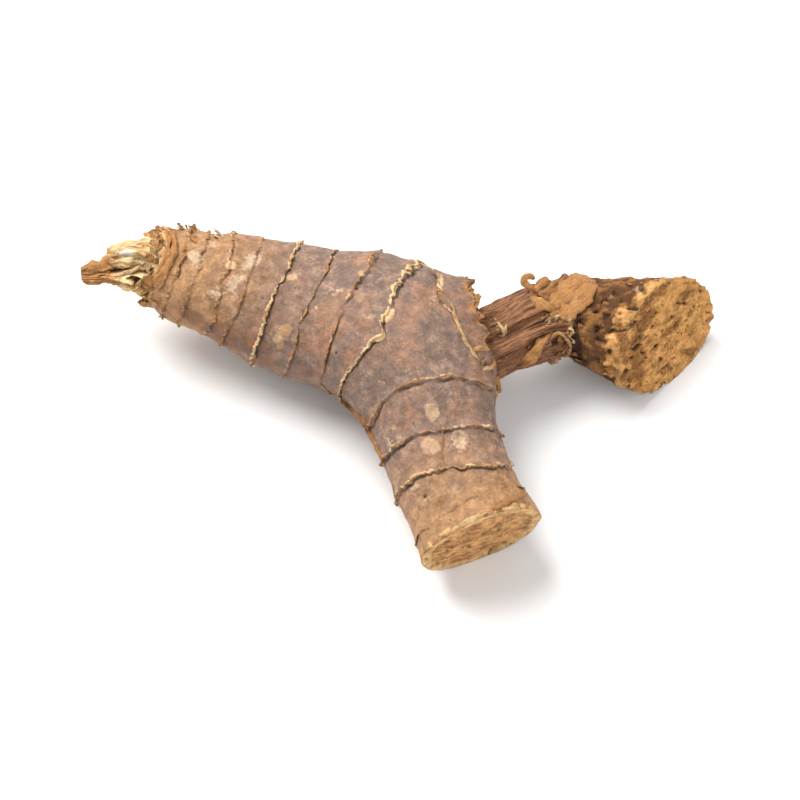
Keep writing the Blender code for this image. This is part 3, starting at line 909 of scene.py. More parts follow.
    @staticmethod
    def split(share: Array, place: Array, angle: Array, marks: MarkSet) -> Array:
        """Splits bark into strands of fibre, and marks them.

        Args:
            share: how fibrous each row is.
            place: the points' places along the limb.
            angle: their angles from its top.
            marks: the marks to change.

        Returns:
            The depths of the splits.
        """
        strands = np.abs(noise_round(angle, 8.5, place / 7.0 + 3)) * 2 - 0.5
        threads = np.abs(noise_round(angle, 19.0, place / 5.0 + 9)) * 2 - 0.5
        marks["fibre"] = smooth(0.2, 0.5, share + 0.15 * strands)
        # Painted shade in the splits between the strands.
        marks["dark"] = share * smooth(0.15, 0.9, strands)
        return share * (0.34 * strands + 0.20 * threads)

    def crumble(self, place: Array, angle: Array, raised: Array, marks: MarkSet) -> Array:
        """Turns bark into dried sponge past a place, and marks it.

        Args:
            place: the points' places along the limb.
            angle: their angles from its top.
            raised: how far they are raised so far.
            marks: the marks to change.

        Returns:
            How far the sponge raises them further.
        """
        edge = noise_round(angle, 3.0, 2.0) + 0.5 * noise_round(angle, 9.0, place)
        sponge = smooth(-0.5, 0.7, place - self.sponge_from + edge)
        solid = self.surface(place, angle, raised)
        grain = perlin(solid / 0.55) + 0.7 * perlin(solid / 0.28 + 3)
        lumps = perlin(solid / 1.5 + 9) + 0.5 * perlin(solid / 0.8 + 70)
        crack = smooth(0.22, 0.50, perlin(solid / np.array((1.1, 0.7, 0.7)) + 40))
        marks["sponge"] = sponge
        # Painted shade in the cracks; the shade mark below is painted light and shade, lighter on the raised
        # lumps and darker between them.
        marks["dark"] = np.maximum(marks["dark"], 0.9 * sponge * crack)
        marks["shade"] = sponge * np.clip(0.33 + 0.8 * lumps, 0.0, 1.0)
        return sponge * (0.10 * grain + 0.30 * lumps - 0.40 * crack)

    def rim_rows(self) -> tuple[Array, MarkSet, Array]:
        """The torn rim, from the middle of the hollow's floor out over its crest.

        Returns:
            Its points, marks and wrap.
        """
        angle = angles_of(self.columns)
        share = np.linspace(0.0, 1.0, RIM_ROWS)
        knots = np.linspace(0.0, 1.0, len(RIM_PROFILE))
        inward = np.interp(share, knots, [row[0] for row in RIM_PROFILE])[:, None]
        beyond = np.interp(share, knots, [row[1] for row in RIM_PROFILE])[:, None]
        tearing = 2 * self.rim.ragged * np.clip((TEAR_START - inward) / TEAR_LENGTH, 0.0, 1.0)
        radius = float(self.limb.frame(np.array([0.0]))[3][0])
        torn = noise_round(angle, RAGGED, self.limb.seed) + 0.30 * noise_round(angle, 13.0, 4.0)
        leaning = self.rim.lean * np.cos(angle - self.rim.lean_angle)
        place = inward + leaning[None, :] - tearing * torn[None, :]
        grid = np.broadcast_to(angle, place.shape)
        centre, out, _ = self.limb.outward(place, grid)
        uneven = RIM_UNEVEN * noise_round(angle, RAGGED, self.limb.seed + 9)
        bark = self.limb.bark(np.full(angle.shape, END_GAP), angle)
        reach = radius + beyond + (uneven + bark)[None, :]
        frayed = 0.16 * noise_round(grid, 22.0, share[:, None] * 3)
        points = centre + out * (reach + frayed)[..., None]
        middle = points[0].mean(axis=0)
        floor = np.linspace(0.0, 1.0, RIM_FLOOR_ROWS, endpoint=False)[:, None, None]
        points = np.concatenate((middle + floor * (points[0] - middle)[None], points))
        marks = blank(points.shape[:2])
        marks["cut"][:] = self.rim_bare
        marks["band"][:] = 0.6 * self.rim_bare
        # Painted shade: the hollow's floor is darkened most, the rows above it less.
        marks["dark"][:RIM_FLOOR_ROWS] = 0.8
        marks["dark"][RIM_FLOOR_ROWS:RIM_SHADED_ROWS] = 0.35
        depth = np.concatenate((np.zeros((RIM_FLOOR_ROWS, self.columns)), place))
        return points, marks, wrapped(np.broadcast_to(angle, depth.shape), depth, BARK_WRAP)

    def trim(self, points: Array) -> Array:
        """Where each row is read so that the last one lies on the cut.

        Each column is sliced where it crosses the knife's plane. Rows past every crossing go.

        Args:
            points: the bark's rows.

        Returns:
            Row numbers, with fractions, for each kept row and column.
        """
        normal = unit(np.array(self.knife.facing))
        past = (points - np.array(self.knife.point)) @ normal
        rows, columns = past.shape
        beyond = past > 0
        first = np.where(beyond.any(axis=0), beyond.argmax(axis=0), rows - 1)
        keep, band = int(first.max()) + 1, int(first.min()) - KNIFE_ROWS
        source = np.repeat(np.arange(keep, dtype=float)[:, None], columns, axis=1)
        share = np.linspace(0.0, 1.0, keep - band)
        for column, row in enumerate(first):
            here, there = past[row - 1, column], past[row, column]
            crossing = row - 1 + here / (here - there)
            stops = np.append(np.arange(band, row), crossing)
            line = read_rows(points[:, column : column + 1], stops[:, None])[:, 0]
            run = run_along(line)
            source[band:keep, column] = np.interp(share, run / run[-1], stops)
        return source

    def join(self, points: Array) -> Array:
        """Swells the bark where another limb grows out of it, so that they run together.

        Args:
            points: the bark's rows.

        Returns:
            The rows, swollen.
        """
        moved = points
        for other in self.merge:
            apart = np.clip(np.abs(other.distance(points)) / self.merge_reach, 0.0, 1.0)
            middle = points.mean(axis=1, keepdims=True)
            swell = MERGE_SWELL * self.merge_reach * (1 - apart) ** 2
            moved = moved + unit(points - middle) * swell[..., None]
        return moved

    def keep_crests(self, points: Array) -> None:
        """Keeps each ring's line, with the directions out of the bark and along it.

        Args:
            points: the bark's rows.
        """
        for ring in self.limb.rings:
            row = int(np.abs(self.stops - ring.place).argmin())
            out = unit(points[row] - points[row].mean(axis=0))
            ahead = unit(points[row + 3] - points[row - 3])
            self.crests.append((ring, points[row], out, ahead))

    def fringe(self, points: Array, marks: MarkSet) -> tuple[Array, MarkSet]:
        """Lifts and bares the bark's torn edge next to the cut.

        Args:
            points: the bark's rows, up to the cut.
            marks: their marks.

        Returns:
            The points and the marks, changed.
        """
        normal = unit(np.array(self.knife.facing))
        away = (np.array(self.knife.point) - points) @ normal
        uneven = perlin(points / 1.1 + 60) + 0.6 * perlin(points / 0.45 + 20)
        bare = 1 - smooth(0.0, self.bare_fade, away - self.bare_edge * (0.7 + 1.3 * uneven))
        marks["cut"] = np.maximum(marks["cut"], bare)
        marks["band"] = np.maximum(marks["band"], bare * smooth(-0.2, 0.5, uneven + 0.3))
        inward = unit(points - points.mean(axis=1, keepdims=True))
        fade = smooth(0.0, 0.12, away)
        return points + inward * (0.16 * bare * fade * uneven)[..., None], marks

    def as_pictured(self, points: Array, marks: MarkSet) -> tuple[Array, MarkSet]:
        """Puts the marks that the picture shows on the side that faces the camera.

        Args:
            points: the limb's points, in the part's frame.
            marks: their marks.

        Returns:
            The points and the marks, changed.
        """
        x, y = in_picture(points)
        outward = unit(points - points.mean(axis=1, keepdims=True))
        facing = smooth(-0.05, 0.25, outward @ PICTURE_OUT)
        edge = 0.22 * perlin(points / 0.7 + 5) + 0.12 * perlin(points / 0.3)
        for key, spots in PICTURED.items():
            inner = 0.1 if key in ("rust", "dust") else 0.6
            marks[key] = np.maximum(marks[key], facing * spot_mask(spots, x, y, edge, inner))
        # Painted shade in the pits, and in the hollows that the picture marks, which are also sunk.
        pits = facing * spot_mask(PITS, x, y, 0.5 * edge)
        marks["dark"] = np.maximum(marks["dark"], pits)
        pits = np.maximum(pits, DARK_DEPTH * facing * spot_mask(PICTURED["dark"], x, y, edge))
        bumps = BLOB_HEIGHT * facing * spot_mask(PICTURED["crest"], x, y, edge)
        return points + outward * (bumps - PIT_DEPTH * pits)[..., None], marks

    def cap(self, edge: Array) -> tuple[Array, MarkSet]:
        """The cut face, from its edge to its middle.

        Args:
            edge: the points round its edge.

        Returns:
            Its points, row by row, and their marks.
        """
        normal = unit(np.array(self.knife.facing))
        sideways = unit(np.cross(normal, (0.0, 0.0, 1.0)))
        upward = np.cross(sideways, normal)
        centre = edge.mean(axis=0)
        share = (1 - np.linspace(0.0, 1.0, FACE_ROWS + 1)[1:] ** FACE_SPREAD)[:, None, None]
        points = centre + (edge - centre)[None] * share
        flat = points - centre
        across, up = flat @ sideways, flat @ upward
        rim = np.broadcast_to(share[..., 0], across.shape)
        angle = np.arctan2(up, across)
        ragged = 0.035 * noise_round(angle, 5.0, 2.0) + 0.03 * noise_round(angle, 14.0, 5.0)
        seen = in_picture(points + SHIFT)
        depth, marks = self.face.relief(across, up, rim + ragged, seen)
        return points - normal * depth[..., None], marks

    def skin(self) -> Skin:
        """The whole limb, from its first end or rim to its last end or cut.

        Returns:
            Its skin, in the part's frame.
        """
        points, marks, wrap = self.rows()
        if self.merge:
            points = self.join(points)
        self.keep_crests(points)
        if self.knife is not None:
            source = self.trim(points)
            points, wrap = read_rows(points, source), read_rows(wrap, source)
            marks = {key: read_rows(values, source) for key, values in marks.items()}
            points, marks = self.fringe(points, marks)
            face, face_marks = self.cap(points[-1])
            blend = np.repeat(wrap[-1:], len(face), axis=0)
            points, wrap = np.concatenate((points, face)), np.concatenate((wrap, blend))
            marks = {key: np.concatenate((marks[key], face_marks[key])) for key in marks}
        else:
            middle = np.broadcast_to(points[-1].mean(axis=0), points[-1:].shape)
            points, wrap = np.concatenate((points, middle)), np.concatenate((wrap, wrap[-1:]))
            marks = {key: np.concatenate((value, value[-1:])) for key, value in marks.items()}
        if self.rim is not None:
            start, start_marks, start_wrap = self.rim_rows()
        else:
            start = np.broadcast_to(points[0].mean(axis=0), points[:1].shape)
            start_marks = {key: value[:1] for key, value in marks.items()}
            start_wrap = wrap[:1]
        points = np.concatenate((start, points)) + SHIFT
        wrap = np.concatenate((start_wrap, wrap))
        marks = {key: np.concatenate((start_marks[key], marks[key])) for key in marks}
        points, marks = self.as_pictured(points, marks)
        points[..., 2] += FLOOR_FOLD * np.maximum(FLOOR_GAP - points[..., 2], 0.0)
        return Skin(points, marks, wrap)


@dataclass
class CutFace:
    """A knife's fresh face: a firm rim round a softer middle."""

    rim_start: float = 0.84
    sink: float = 0.34
    grain: float = 0.10
    seed: float = 1.0

    def relief(self, across: Array, up: Array, rim: Array, seen: tuple) -> tuple[Array, MarkSet]:
        """How deep the face is cut at each point, and its marks.

        Args:
            across: millimetres from its middle to the side.
            up: millimetres from its middle upwards.
            rim: share of the way from its middle to its edge.
            seen: pixel columns and rows in the picture; not used here.

        Returns:
            The depths in millimetres, and the marks.
        """
        flat = np.stack((across, up, np.full(across.shape, self.seed)), axis=-1)
        marks = blank(across.shape)
        inner = 1 - smooth(self.rim_start - 0.04, self.rim_start + 0.05, rim)
        broad = perlin(flat / 2.8)
        fine = perlin(flat / 0.55) + 0.5 * perlin(flat / 0.27 + 5)
        torn = np.clip(perlin(flat / 0.9 + 17) - 0.30, 0.0, 1.0)
        depth = self.sink * inner * (1 + 0.8 * broad) + self.grain * fine * smooth(1.05, 0.95, rim)
        depth = depth + 1.1 * torn * smooth(1.0, 0.9, rim)
        strokes = perlin(flat * np.array((0.35, 1.6, 1.0)) + 30)
        strokes = strokes + 0.6 * perlin(flat * np.array((0.8, 2.9, 1.0)))
        depth = depth + 0.12 * strokes * inner
        marks["shade"] = np.clip(0.5 + 0.9 * strokes, 0.0, 1.0)
        marks["cut"] = smooth(1.02, 0.97, rim)
        marks["band"] = smooth(self.rim_start - 0.03, self.rim_start + 0.03, rim)
        # Painted shade in the torn hollows, which are also sunk.
        marks["dark"] = np.clip(2.2 * torn, 0.0, 1.0)
        return depth, marks


@dataclass
class SpongyFace(CutFace):
    """An old cut that has dried to a sponge, with slanting pores. It has painted light: it is painted
    lighter to the right, by the pixel columns that the painted light is centred on and spread over."""

    slant: float = 0.2
    pores: Sequence[Spot] = ()
    lit_from: float = 672.0
    lit_over: float = 65.0

    def relief(self, across: Array, up: Array, rim: Array, seen: tuple) -> tuple[Array, MarkSet]:
        """As on any cut face, with long pores in one direction.

        Args:
            across, up, rim, seen: as on any cut face.

        Returns:
            The depths in millimetres, and the marks.
        """
        depth, marks = super().relief(across, up, rim, seen)
        along = across * math.cos(self.slant) + up * math.sin(self.slant)
        off = up * math.cos(self.slant) - across * math.sin(self.slant)
        fibre = np.stack((along / 0.85, off / 0.34, np.full(along.shape, 3.3)), axis=-1)
        strands = perlin(fibre)
        grain = perlin(fibre * 2.1 + 8)
        holes = 0.6 * smooth(0.46, 0.58, strands + 0.30 * perlin(fibre * 0.35))
        holes = np.maximum(holes, 0.5 * smooth(0.48, 0.60, grain))
        holes = np.maximum(holes, spot_mask(self.pores, *seen, 0.25 * grain))
        inside = smooth(1.02, 0.96, rim)
        swell = perlin(np.stack((along / 3.0, off / 1.3, np.full(along.shape, 9.3)), axis=-1))
        depth = depth + inside * (0.50 * holes - 0.06 * strands - 0.12 * swell)
        # Painted shade in the pores, which are also sunk.
        marks["dark"] = np.maximum(marks["dark"] * 0.5, smooth(0.10, 0.75, holes) * inside)
        marks["sponge"] = np.ones(across.shape)
        marks["band"] = 0.25 * marks["band"]
        # Painted light: lighter to the right, darker to the left.
        lighter = (seen[0] - self.lit_from) / self.lit_over
        marks["shade"] = np.clip(0.5 + lighter - 0.9 * swell, 0.0, 1.0)
        return depth, marks


def branch_form(place: Array, angle: Array) -> Array:
    """Deep lengthwise wrinkles in the branch's dried neck, and the lobes of its flare.

    Args:
        place: distances along the branch.
        angle: angles from its top.

    Returns:
        The heights over its bark.
    """
    shrunk = np.clip(1 - ((place - NECK_PLACE) / NECK_REACH) ** 2, 0.0, 1.0)
    wrinkle = noise_round(angle, WRINKLES, place / WRINKLE_LENGTH) - 0.2
    swell = np.clip((place - FLARE_PLACE) / FLARE_REACH, 0.0, 1.0)
    lobes = np.zeros(angle.shape)
    for lobe_angle, height, width in FLARE_LOBES:
        lobes += height * np.exp(-((centred(angle - lobe_angle) / width) ** 2))
    return NECK_WRINKLE * shrunk * wrinkle + swell * lobes


def neck_fibres(place: Array) -> Array:
    """How fibrous the branch is along its length: most at its neck, a little on its flare."""
    return FLARE_FIBRE + NECK_FIBRE * np.clip(1 - ((place - FIBRE_PLACE) / FIBRE_REACH) ** 2, 0.0, 1.0)


@dataclass
class FibreBundle:
    """The torn shoot's fibre: fluted where it split, hollowed on the side seen from above."""

    name: str
    line: Sequence[tuple]
    seed: float
    hollow: float
    columns: int = 150
    step: float = 0.12

    def skin(self) -> Skin:
        """The bundle, closed at both ends.

        Returns:
            Its skin, in the part's frame.
        """
        limb = Limb(self.line, seed=self.seed)
        count = math.ceil(limb.lengths[-1] / self.step)
        place = np.linspace(0.0, limb.lengths[-1], count + 1)
        angle = angles_of(self.columns)
        grid_place = np.repeat(place[:, None], self.columns, axis=1)
        grid = np.broadcast_to(angle, grid_place.shape)
        centre, out, radius = limb.outward(grid_place, grid)
        flute = FLUTE_DEPTH * noise_round(grid, MIDDLE, grid_place / FLUTE_LENGTH + self.seed)
        bowl = np.maximum(0.0, np.cos(grid - HOLLOW_ANGLE)) ** HOLLOW_POWER
        scoop = self.hollow * bowl
        solid = centre + radius[..., None] * out
        strands = np.abs(noise_round(grid, 4.5, grid_place / 3.5 + 11)) * 2
        threads = np.abs(noise_round(grid, 12.0, grid_place / 2.6 + 5)) * 2
        lumps = perlin(solid / 1.3 + self.seed)
        chips = perlin(solid / 0.5 + 17)
        blunt = BLUNT_SWELL * smooth(BLUNT_FROM, BLUNT_TO, grid_place)
        reach = radius * (SHOOT_SWELL + flute - scoop + blunt)
        cracked = smooth(0.25, 0.55, perlin(solid * np.array((0.35, 1.0, 1.0)) + 44))
        reach = reach - 0.22 * strands - 0.12 * threads + 0.45 * lumps + 0.22 * chips - 0.35 * cracked
        points = centre + out * np.maximum(reach, 0.18)[..., None] + SHIFT
        marks = blank(grid.shape)
        x, y = in_picture(points)
        facing = smooth(-0.1, 0.25, out @ PICTURE_OUT)
        edge = 0.30 * lumps + 0.18 * chips
        holes = facing * spot_mask(SHOOT_HOLES, x, y, edge) if self.hollow else np.zeros(x.shape)
        white = facing * spot_mask(SHOOT_WHITES, x, y, edge)
        points = points - out * (0.85 * holes)[..., None]
        # Painted shade in the holes, the splits between strands and the cracks.
        marks["dark"] = np.maximum(holes, np.maximum(0.45 * smooth(0.45, 0.9, strands), 0.55 * cracked))
        towards_tip = smooth(TIP_FROM, TIP_TO, grid_place)
        # The tone has painted light and shade: lighter on raised lumps, darker on sunk threads; the darker
        # tip is its own colour.
        shade = 0.84 - TIP_DARKER * towards_tip + 0.30 * lumps - 0.25 * smooth(0.4, 0.9, threads)
        marks["shade"] = shade + 0.40 * white
        marks = {key: np.concatenate((value[:1], value, value[-1:])) for key, value in marks.items()}
        wrap = wrapped(grid, grid_place, FIBRE_WRAP)
        return Skin(closed(points), marks, np.concatenate((wrap[:1], wrap, wrap[-1:])))


class Scraps:
    """Small closed pieces, gathered into one object."""

    def __init__(self, name: str) -> None:
        """Starts an empty mesh.

        Args:
            name: the object's name.
        """
        self.name = name
        self.mesh = bmesh.new()
        self.shade = self.mesh.verts.layers.float.new("shade")
        self.dark = self.mesh.verts.layers.float.new("dark")
        self.flow = self.mesh.verts.layers.float_vector.new("wrap")

    def add(self, points: Array, shade: Array | float, dark: Array | float = 0.0) -> None:
        """Wraps a grid of points into a closed piece: its columns go round it.

        Args:
            points: rows by columns, in millimetres in the part's frame.
            shade: from 0, brown, to 1, cream, for each point.
            dark: how sunk in shadow each point is.
        """
        points = closed(points)
        rows, columns = points.shape[:2]
        points[..., 2] = np.maximum(points[..., 2], SCRAP_FLOOR_GAP)
        shade = np.broadcast_to(shade, (rows - 2, columns))
        dark = np.broadcast_to(dark, (rows - 2, columns))
        run = np.cumsum(np.linalg.norm(np.diff(points.mean(axis=1), axis=0, prepend=0), axis=1))
        made = bmesh.ops.create_grid(self.mesh, x_segments=columns, y_segments=rows - 1, size=0.5)
        for vert in made["verts"]:
            row = round((vert.co.y + 0.5) * (rows - 1))
            column = round((vert.co.x + 0.5) * columns) % columns
            inner = min(max(row - 1, 0), rows - 3)
            turn = FULL_TURN * column / columns
            vert[self.shade] = shade[inner, column]
            vert[self.dark] = dark[inner, column]
            vert[self.flow] = (WRAP_WIDE * math.cos(turn), WRAP_HIGH * math.sin(turn), run[row])
            vert.co = points[row, column] * MM
        bmesh.ops.remove_doubles(self.mesh, verts=made["verts"], dist=WELD_GAP)

    def build(self) -> bpy.types.Object:
        """Makes the object.

        Returns:
            The object, with a point attribute for each mark.
        """
        bmesh.ops.recalc_face_normals(self.mesh, faces=self.mesh.faces)
        data = bpy.data.meshes.new(self.name)
        self.mesh.to_mesh(data)
        self.mesh.free()
        data.shade_smooth()
        return linked(self.name, data)


def flake(base: Array, along: Array, normal: Array, size: tuple, seed: float) -> Array:
    """A torn scale's points, lying along a direction and lifting towards its tip.

    Args:
        base: where it grows, in millimetres.
        along: the direction that it points.
        normal: the direction out of the bark.
        size: its length, width, lift, crosswise curl and thickness.
        seed: where its noise is read.

    Returns:
        Its points, rows by columns.
    """
    length, width, lift, curl, thick = size
    side = unit(np.cross(normal, along))
    step = np.linspace(0.0, 1.0, FLAKE_ROWS)[:, None]
    turn = angles_of(FLAKE_COLUMNS)[None, :]
    u, v = np.cos(turn), np.sin(turn)
    shape = (FLAKE_ROWS, FLAKE_COLUMNS)
    across = np.broadcast_to(u * 1.7, shape)
    uneven = perlin(np.stack((across + seed, step * 3 + 0 * u, np.full(shape, seed * 1.3)), axis=-1))
    tip = perlin(np.stack((across * 2 + seed, np.full(shape, 4.0), np.full(shape, seed)), axis=-1))
    half = 0.5 * width * (1 - 0.45 * step**2) * (1 + 0.55 * uneven)
    run = length * step * (1 + 0.45 * tip)
    rise = lift * step**1.6 + curl * u**2 * step + 0.5 * thick * v * (1 - 0.4 * step) - 0.18 * (1 - step)
    return base + run[..., None] * along + (half * u)[..., None] * side + rise[..., None] * normal


@dataclass(frozen=True)
class FlakeField:
    """Many torn scales on one stretch of a limb: how many, and the ranges that they are drawn from.

    The places and angles are on the limb. Backwards scales point to its first end.
    """

    count: int
    places: tuple
    angles: tuple
    length: tuple
    width: tuple
    lift: tuple
    shade: tuple
    seed: int
    backwards: bool = True

    def scatter(self, limb: Limb, scraps: Scraps, form: Callable | None = None) -> None:
        """Adds the scales to a limb.

        Args:
            limb: the limb that they grow on.
            scraps: the object that they go into.
            form: the limb's further relief, if it has any.
        """
        chance = random.Random(self.seed)
        for _ in range(self.count):
            place = np.array([[chance.uniform(*self.places)]])
            angle = np.array([[chance.uniform(*self.angles)]])
            centre, out, radius = limb.outward(place, angle)
            height = limb.bark(place, angle) + (form(place, angle) if form else 0.0)
            base = (centre + out * (radius + height)[..., None])[0, 0] + SHIFT
            ahead = limb.frame(place + 0.5)[0][0, 0] - limb.frame(place - 0.5)[0][0, 0]
            stray = FLAKE_STRAY * np.array([chance.uniform(-1, 1) for _ in range(3)])
            turned = unit(ahead) * (-1 if self.backwards else 1) + stray
            normal = out[0, 0]
            along = unit(turned - normal * float(turned @ normal))
            size = (
                chance.uniform(*self.length), chance.uniform(*self.width), chance.uniform(*self.lift),
                chance.uniform(*FLAKE_CURL), chance.uniform(*FLAKE_THICK),
            )
            scraps.add(flake(base, along, normal, size, chance.uniform(0, 90)), chance.uniform(*self.shade))


class Ground:
    """The finished bark, to lay strips on where the picture shows them."""

    def __init__(self, pieces: Sequence[bpy.types.Object]) -> None:
        """Joins the pieces' meshes into a search tree.

        Args:
            pieces: the bark pieces.
        """
        mesh = bmesh.new()
        for piece in pieces:
            mesh.from_mesh(piece.data)
        self.tree = BVHTree.FromBMesh(mesh)
        mesh.free()

    @staticmethod
    def plane(x: float, y: float) -> Array:
        """A pixel's point in the plane of the picture, in millimetres."""
        across = np.array(((x - PICTURE_CENTRE[0]) * MM_PER_PIXEL, 0.0, 0.0))
        return SHIFT + across + PICTURE_UP * (PICTURE_CENTRE[1] - y) * MM_PER_PIXEL

    def beside(self, x: float, y: float, near: tuple[float, float]) -> tuple[Array, Array]:
        """The point under a pixel as deep as the bark under another, and the way to the camera."""
        plane = self.plane(x, y)
        return plane + PICTURE_OUT * float((self.hit(*near)[0] - plane) @ PICTURE_OUT), PICTURE_OUT

    def hit(self, x: float, y: float) -> tuple[Array, Array] | None:
        """Looks for the bark under a pixel of the picture.

        Args:
            x: the pixel's column.
            y: its row.

        Returns:
            The point in millimetres and the normal there, or None beside the bark.
        """
        start = (self.plane(x, y) + PICTURE_OUT * RAY_START) * MM
        point, normal, _, _ = self.tree.ray_cast(Vector(start), Vector(-PICTURE_OUT))
        return None if point is None else (np.array(point) / MM, np.array(normal))


@dataclass(frozen=True)
class Strip:
    """A strip of husk on the bark along a line of the picture.

    Its line gives pixels, widths and lifts, and the shade goes from its first end to its last. One
    that is held at a pixel stands free of the bark, as deep as the bark there. The sunk line along
    its middle and its edges get painted shade.
    """

    line: tuple
    thick: float = 0.3
    arch: float = 0.0
    ragged: float = 0.3
    shade: tuple = (0.5, 0.5)
    edge_shade: float = 0.0
    groove: float = 0.0
    seed: float = 1.0
    blunt: float = 0.35
    ridges: float = 0.0
    held_at: tuple | None = None
    shaded_edges: float = 0.0

    def lay(self, ground: Ground, scraps: Scraps) -> None:
        """Adds the strip to an object, on the bark's surface.

        Args:
            ground: the bark.
            scraps: the object that it goes into.
        """
        knots = np.array(self.line, dtype=float)
        run = np.concatenate(([0.0], np.cumsum(np.hypot(*np.diff(knots[:, :2], axis=0).T))))
        count = max(FEWEST_STOPS, math.ceil(run[-1] * MM_PER_PIXEL / STRIP_STEP))
        stops = np.linspace(0.0, run[-1], count)
        spots = np.stack([np.interp(stops, run, column) for column in knots.T], axis=1)
        if self.held_at is None:
            found = [ground.hit(x, y) for x, y, _, _ in spots]
        else:
            found = [ground.beside(x, y, self.held_at) for x, y, _, _ in spots]
        kept = [(hit, spot) for hit, spot in zip(found, spots) if hit is not None]
        if len(kept) < FEWEST_HITS:
            LOG.warning("a strip near pixel %s misses the bark", self.line[0][:2])
            return
        place = np.array([hit[0] for hit, _ in kept])
        normal = unit(np.array([hit[1] for hit, _ in kept]) + 0.6 * PICTURE_OUT)
        spots = np.array([spot for _, spot in kept])
        for _ in range(SMOOTHINGS):
            place[1:-1] = 0.25 * place[:-2] + 0.5 * place[1:-1] + 0.25 * place[2:]
            normal[1:-1] = unit(normal[:-2] + normal[1:-1] + normal[2:])
        tangent = unit(np.gradient(place, axis=0))
        side = unit(np.cross(normal, tangent))
        turn = angles_of(STRIP_COLUMNS)[None, :]
        u, v = np.cos(turn), np.sin(turn)
        step = np.linspace(0.0, 1.0, len(place))[:, None]
        along = stops[: len(place), None] * MM_PER_PIXEL
        grid = np.stack(np.broadcast_arrays(u * 1.5, along / 0.9, self.seed + 0 * u), axis=-1)
        rough = perlin(grid) + 0.5 * perlin(grid * 2.3)
        taper = np.minimum(1.0, 0.35 + 4 * np.minimum(step, 1 - step))
        ends = np.minimum(1.0, self.blunt + 4 * np.minimum(step, 1 - step))
        half = 0.5 * spots[:, 2:3] * (1 + self.ragged * rough) * ends
        top = np.maximum(v, 0.0)
        rise = spots[:, 3:4] * taper + self.arch * (1 - u**2) * taper
        rise = rise - self.groove * np.exp(-((u / 0.3) ** 2)) * top
        lines = np.stack(np.broadcast_arrays(u * 5.0, along / 2.6, self.seed + 3 + 0 * u), axis=-1)
        rise = rise + self.ridges * perlin(lines) * top
        torn = 1.4 * self.ragged * perlin(np.stack((u * 3.0, 0 * u, self.seed + 0 * u), axis=-1))
        pull = torn * (smooth(0.75, 1.0, step) - smooth(0.25, 0.0, step)) * spots[:, 2:3] * 0.5
        rise = rise + self.thick * (0.5 * v + 0.35 * rough * top) - 0.25 * (v < -0.1)
        points = place[:, None] + (half * u)[..., None] * side[:, None] + rise[..., None] * normal[:, None]
        points = points + pull[..., None] * tangent[:, None]
        shade = self.shade[0] + (self.shade[1] - self.shade[0]) * step + self.edge_shade * np.abs(u) ** 3
        # Painted shade: along the sunk middle line and along both edges, where the strip meets the bark.
        dark = self.groove * 1.5 * np.exp(-((u / 0.25) ** 2)) * top + self.shaded_edges * u**4
        scraps.add(points, shade, dark + 0 * step)


def ring_frills(limb: BarkLimb, scraps: Scraps, covered: Sequence[Limb]) -> None:
    """Adds thin upright frills along a limb's rings, with gaps.

    Args:
        limb: the limb, whose crest lines have been kept.
        scraps: the object that they go into.
        covered: other limbs, which hide the rings that are inside them.
    """
    for ring, line, out, ahead in limb.crests:
        seed = ring.place * 2.9 + limb.limb.seed
        angle = angles_of(limb.columns)
        tall = noise_round(angle, 8.0, seed) + 0.5 * noise_round(angle, 21.0, seed + 3)
        height = (0.02 + 0.5 * ring.wide + 0.34 * tall) * min(1.0, 0.4 + ring.cream)
        clear = np.all([other.distance(line) > 0.25 for other in covered], axis=0)
        open_here = (height > 0.05) & clear & (line[:, 2] + SHIFT[2] > 0.5)
        shade = 0.34 + 0.42 * ring.cream + 0.35 * ring.jag * noise_round(angle, 5.0, seed + 8)
        shade = np.clip(shade, 0.25, 0.85)
        start = int(np.argmin(open_here)) if not open_here.all() else 0
        order = np.roll(np.arange(len(angle)), -start)
        run: list[int] = []
        for column in [*order, None]:
            if column is not None and open_here[column]:
                run.append(column)
                continue
            if len(run) >= SHORTEST_FRILL:
                rows = np.array(run)
                counted = np.arange(len(rows))
                ends = np.minimum(1.0, np.minimum(counted, counted[::-1]) / FRILL_FADE + 0.15)
                tip = np.clip(height[rows], 0.04, 0.34) * ends
                lean = 0.10 + 0.4 * tip
                wave = 0.16 * noise_round(angle[rows], 26.0, seed + 1)
                wave = ring.jag * (wave + 0.12 * noise_round(angle[rows], 48.0, seed))
                base = line[rows] + SHIFT + wave[:, None] * ahead[rows]
                points = np.stack([
                    base + ahead[rows] * (off * np.maximum(ends, 0.3) + lean * share)[:, None]
                    + out[rows] * (lift + share * tip)[:, None]
                    for off, lift, share in FRILL_SECTION
                ], axis=1)
                scraps.add(points, shade[rows][:, None])
            run = []


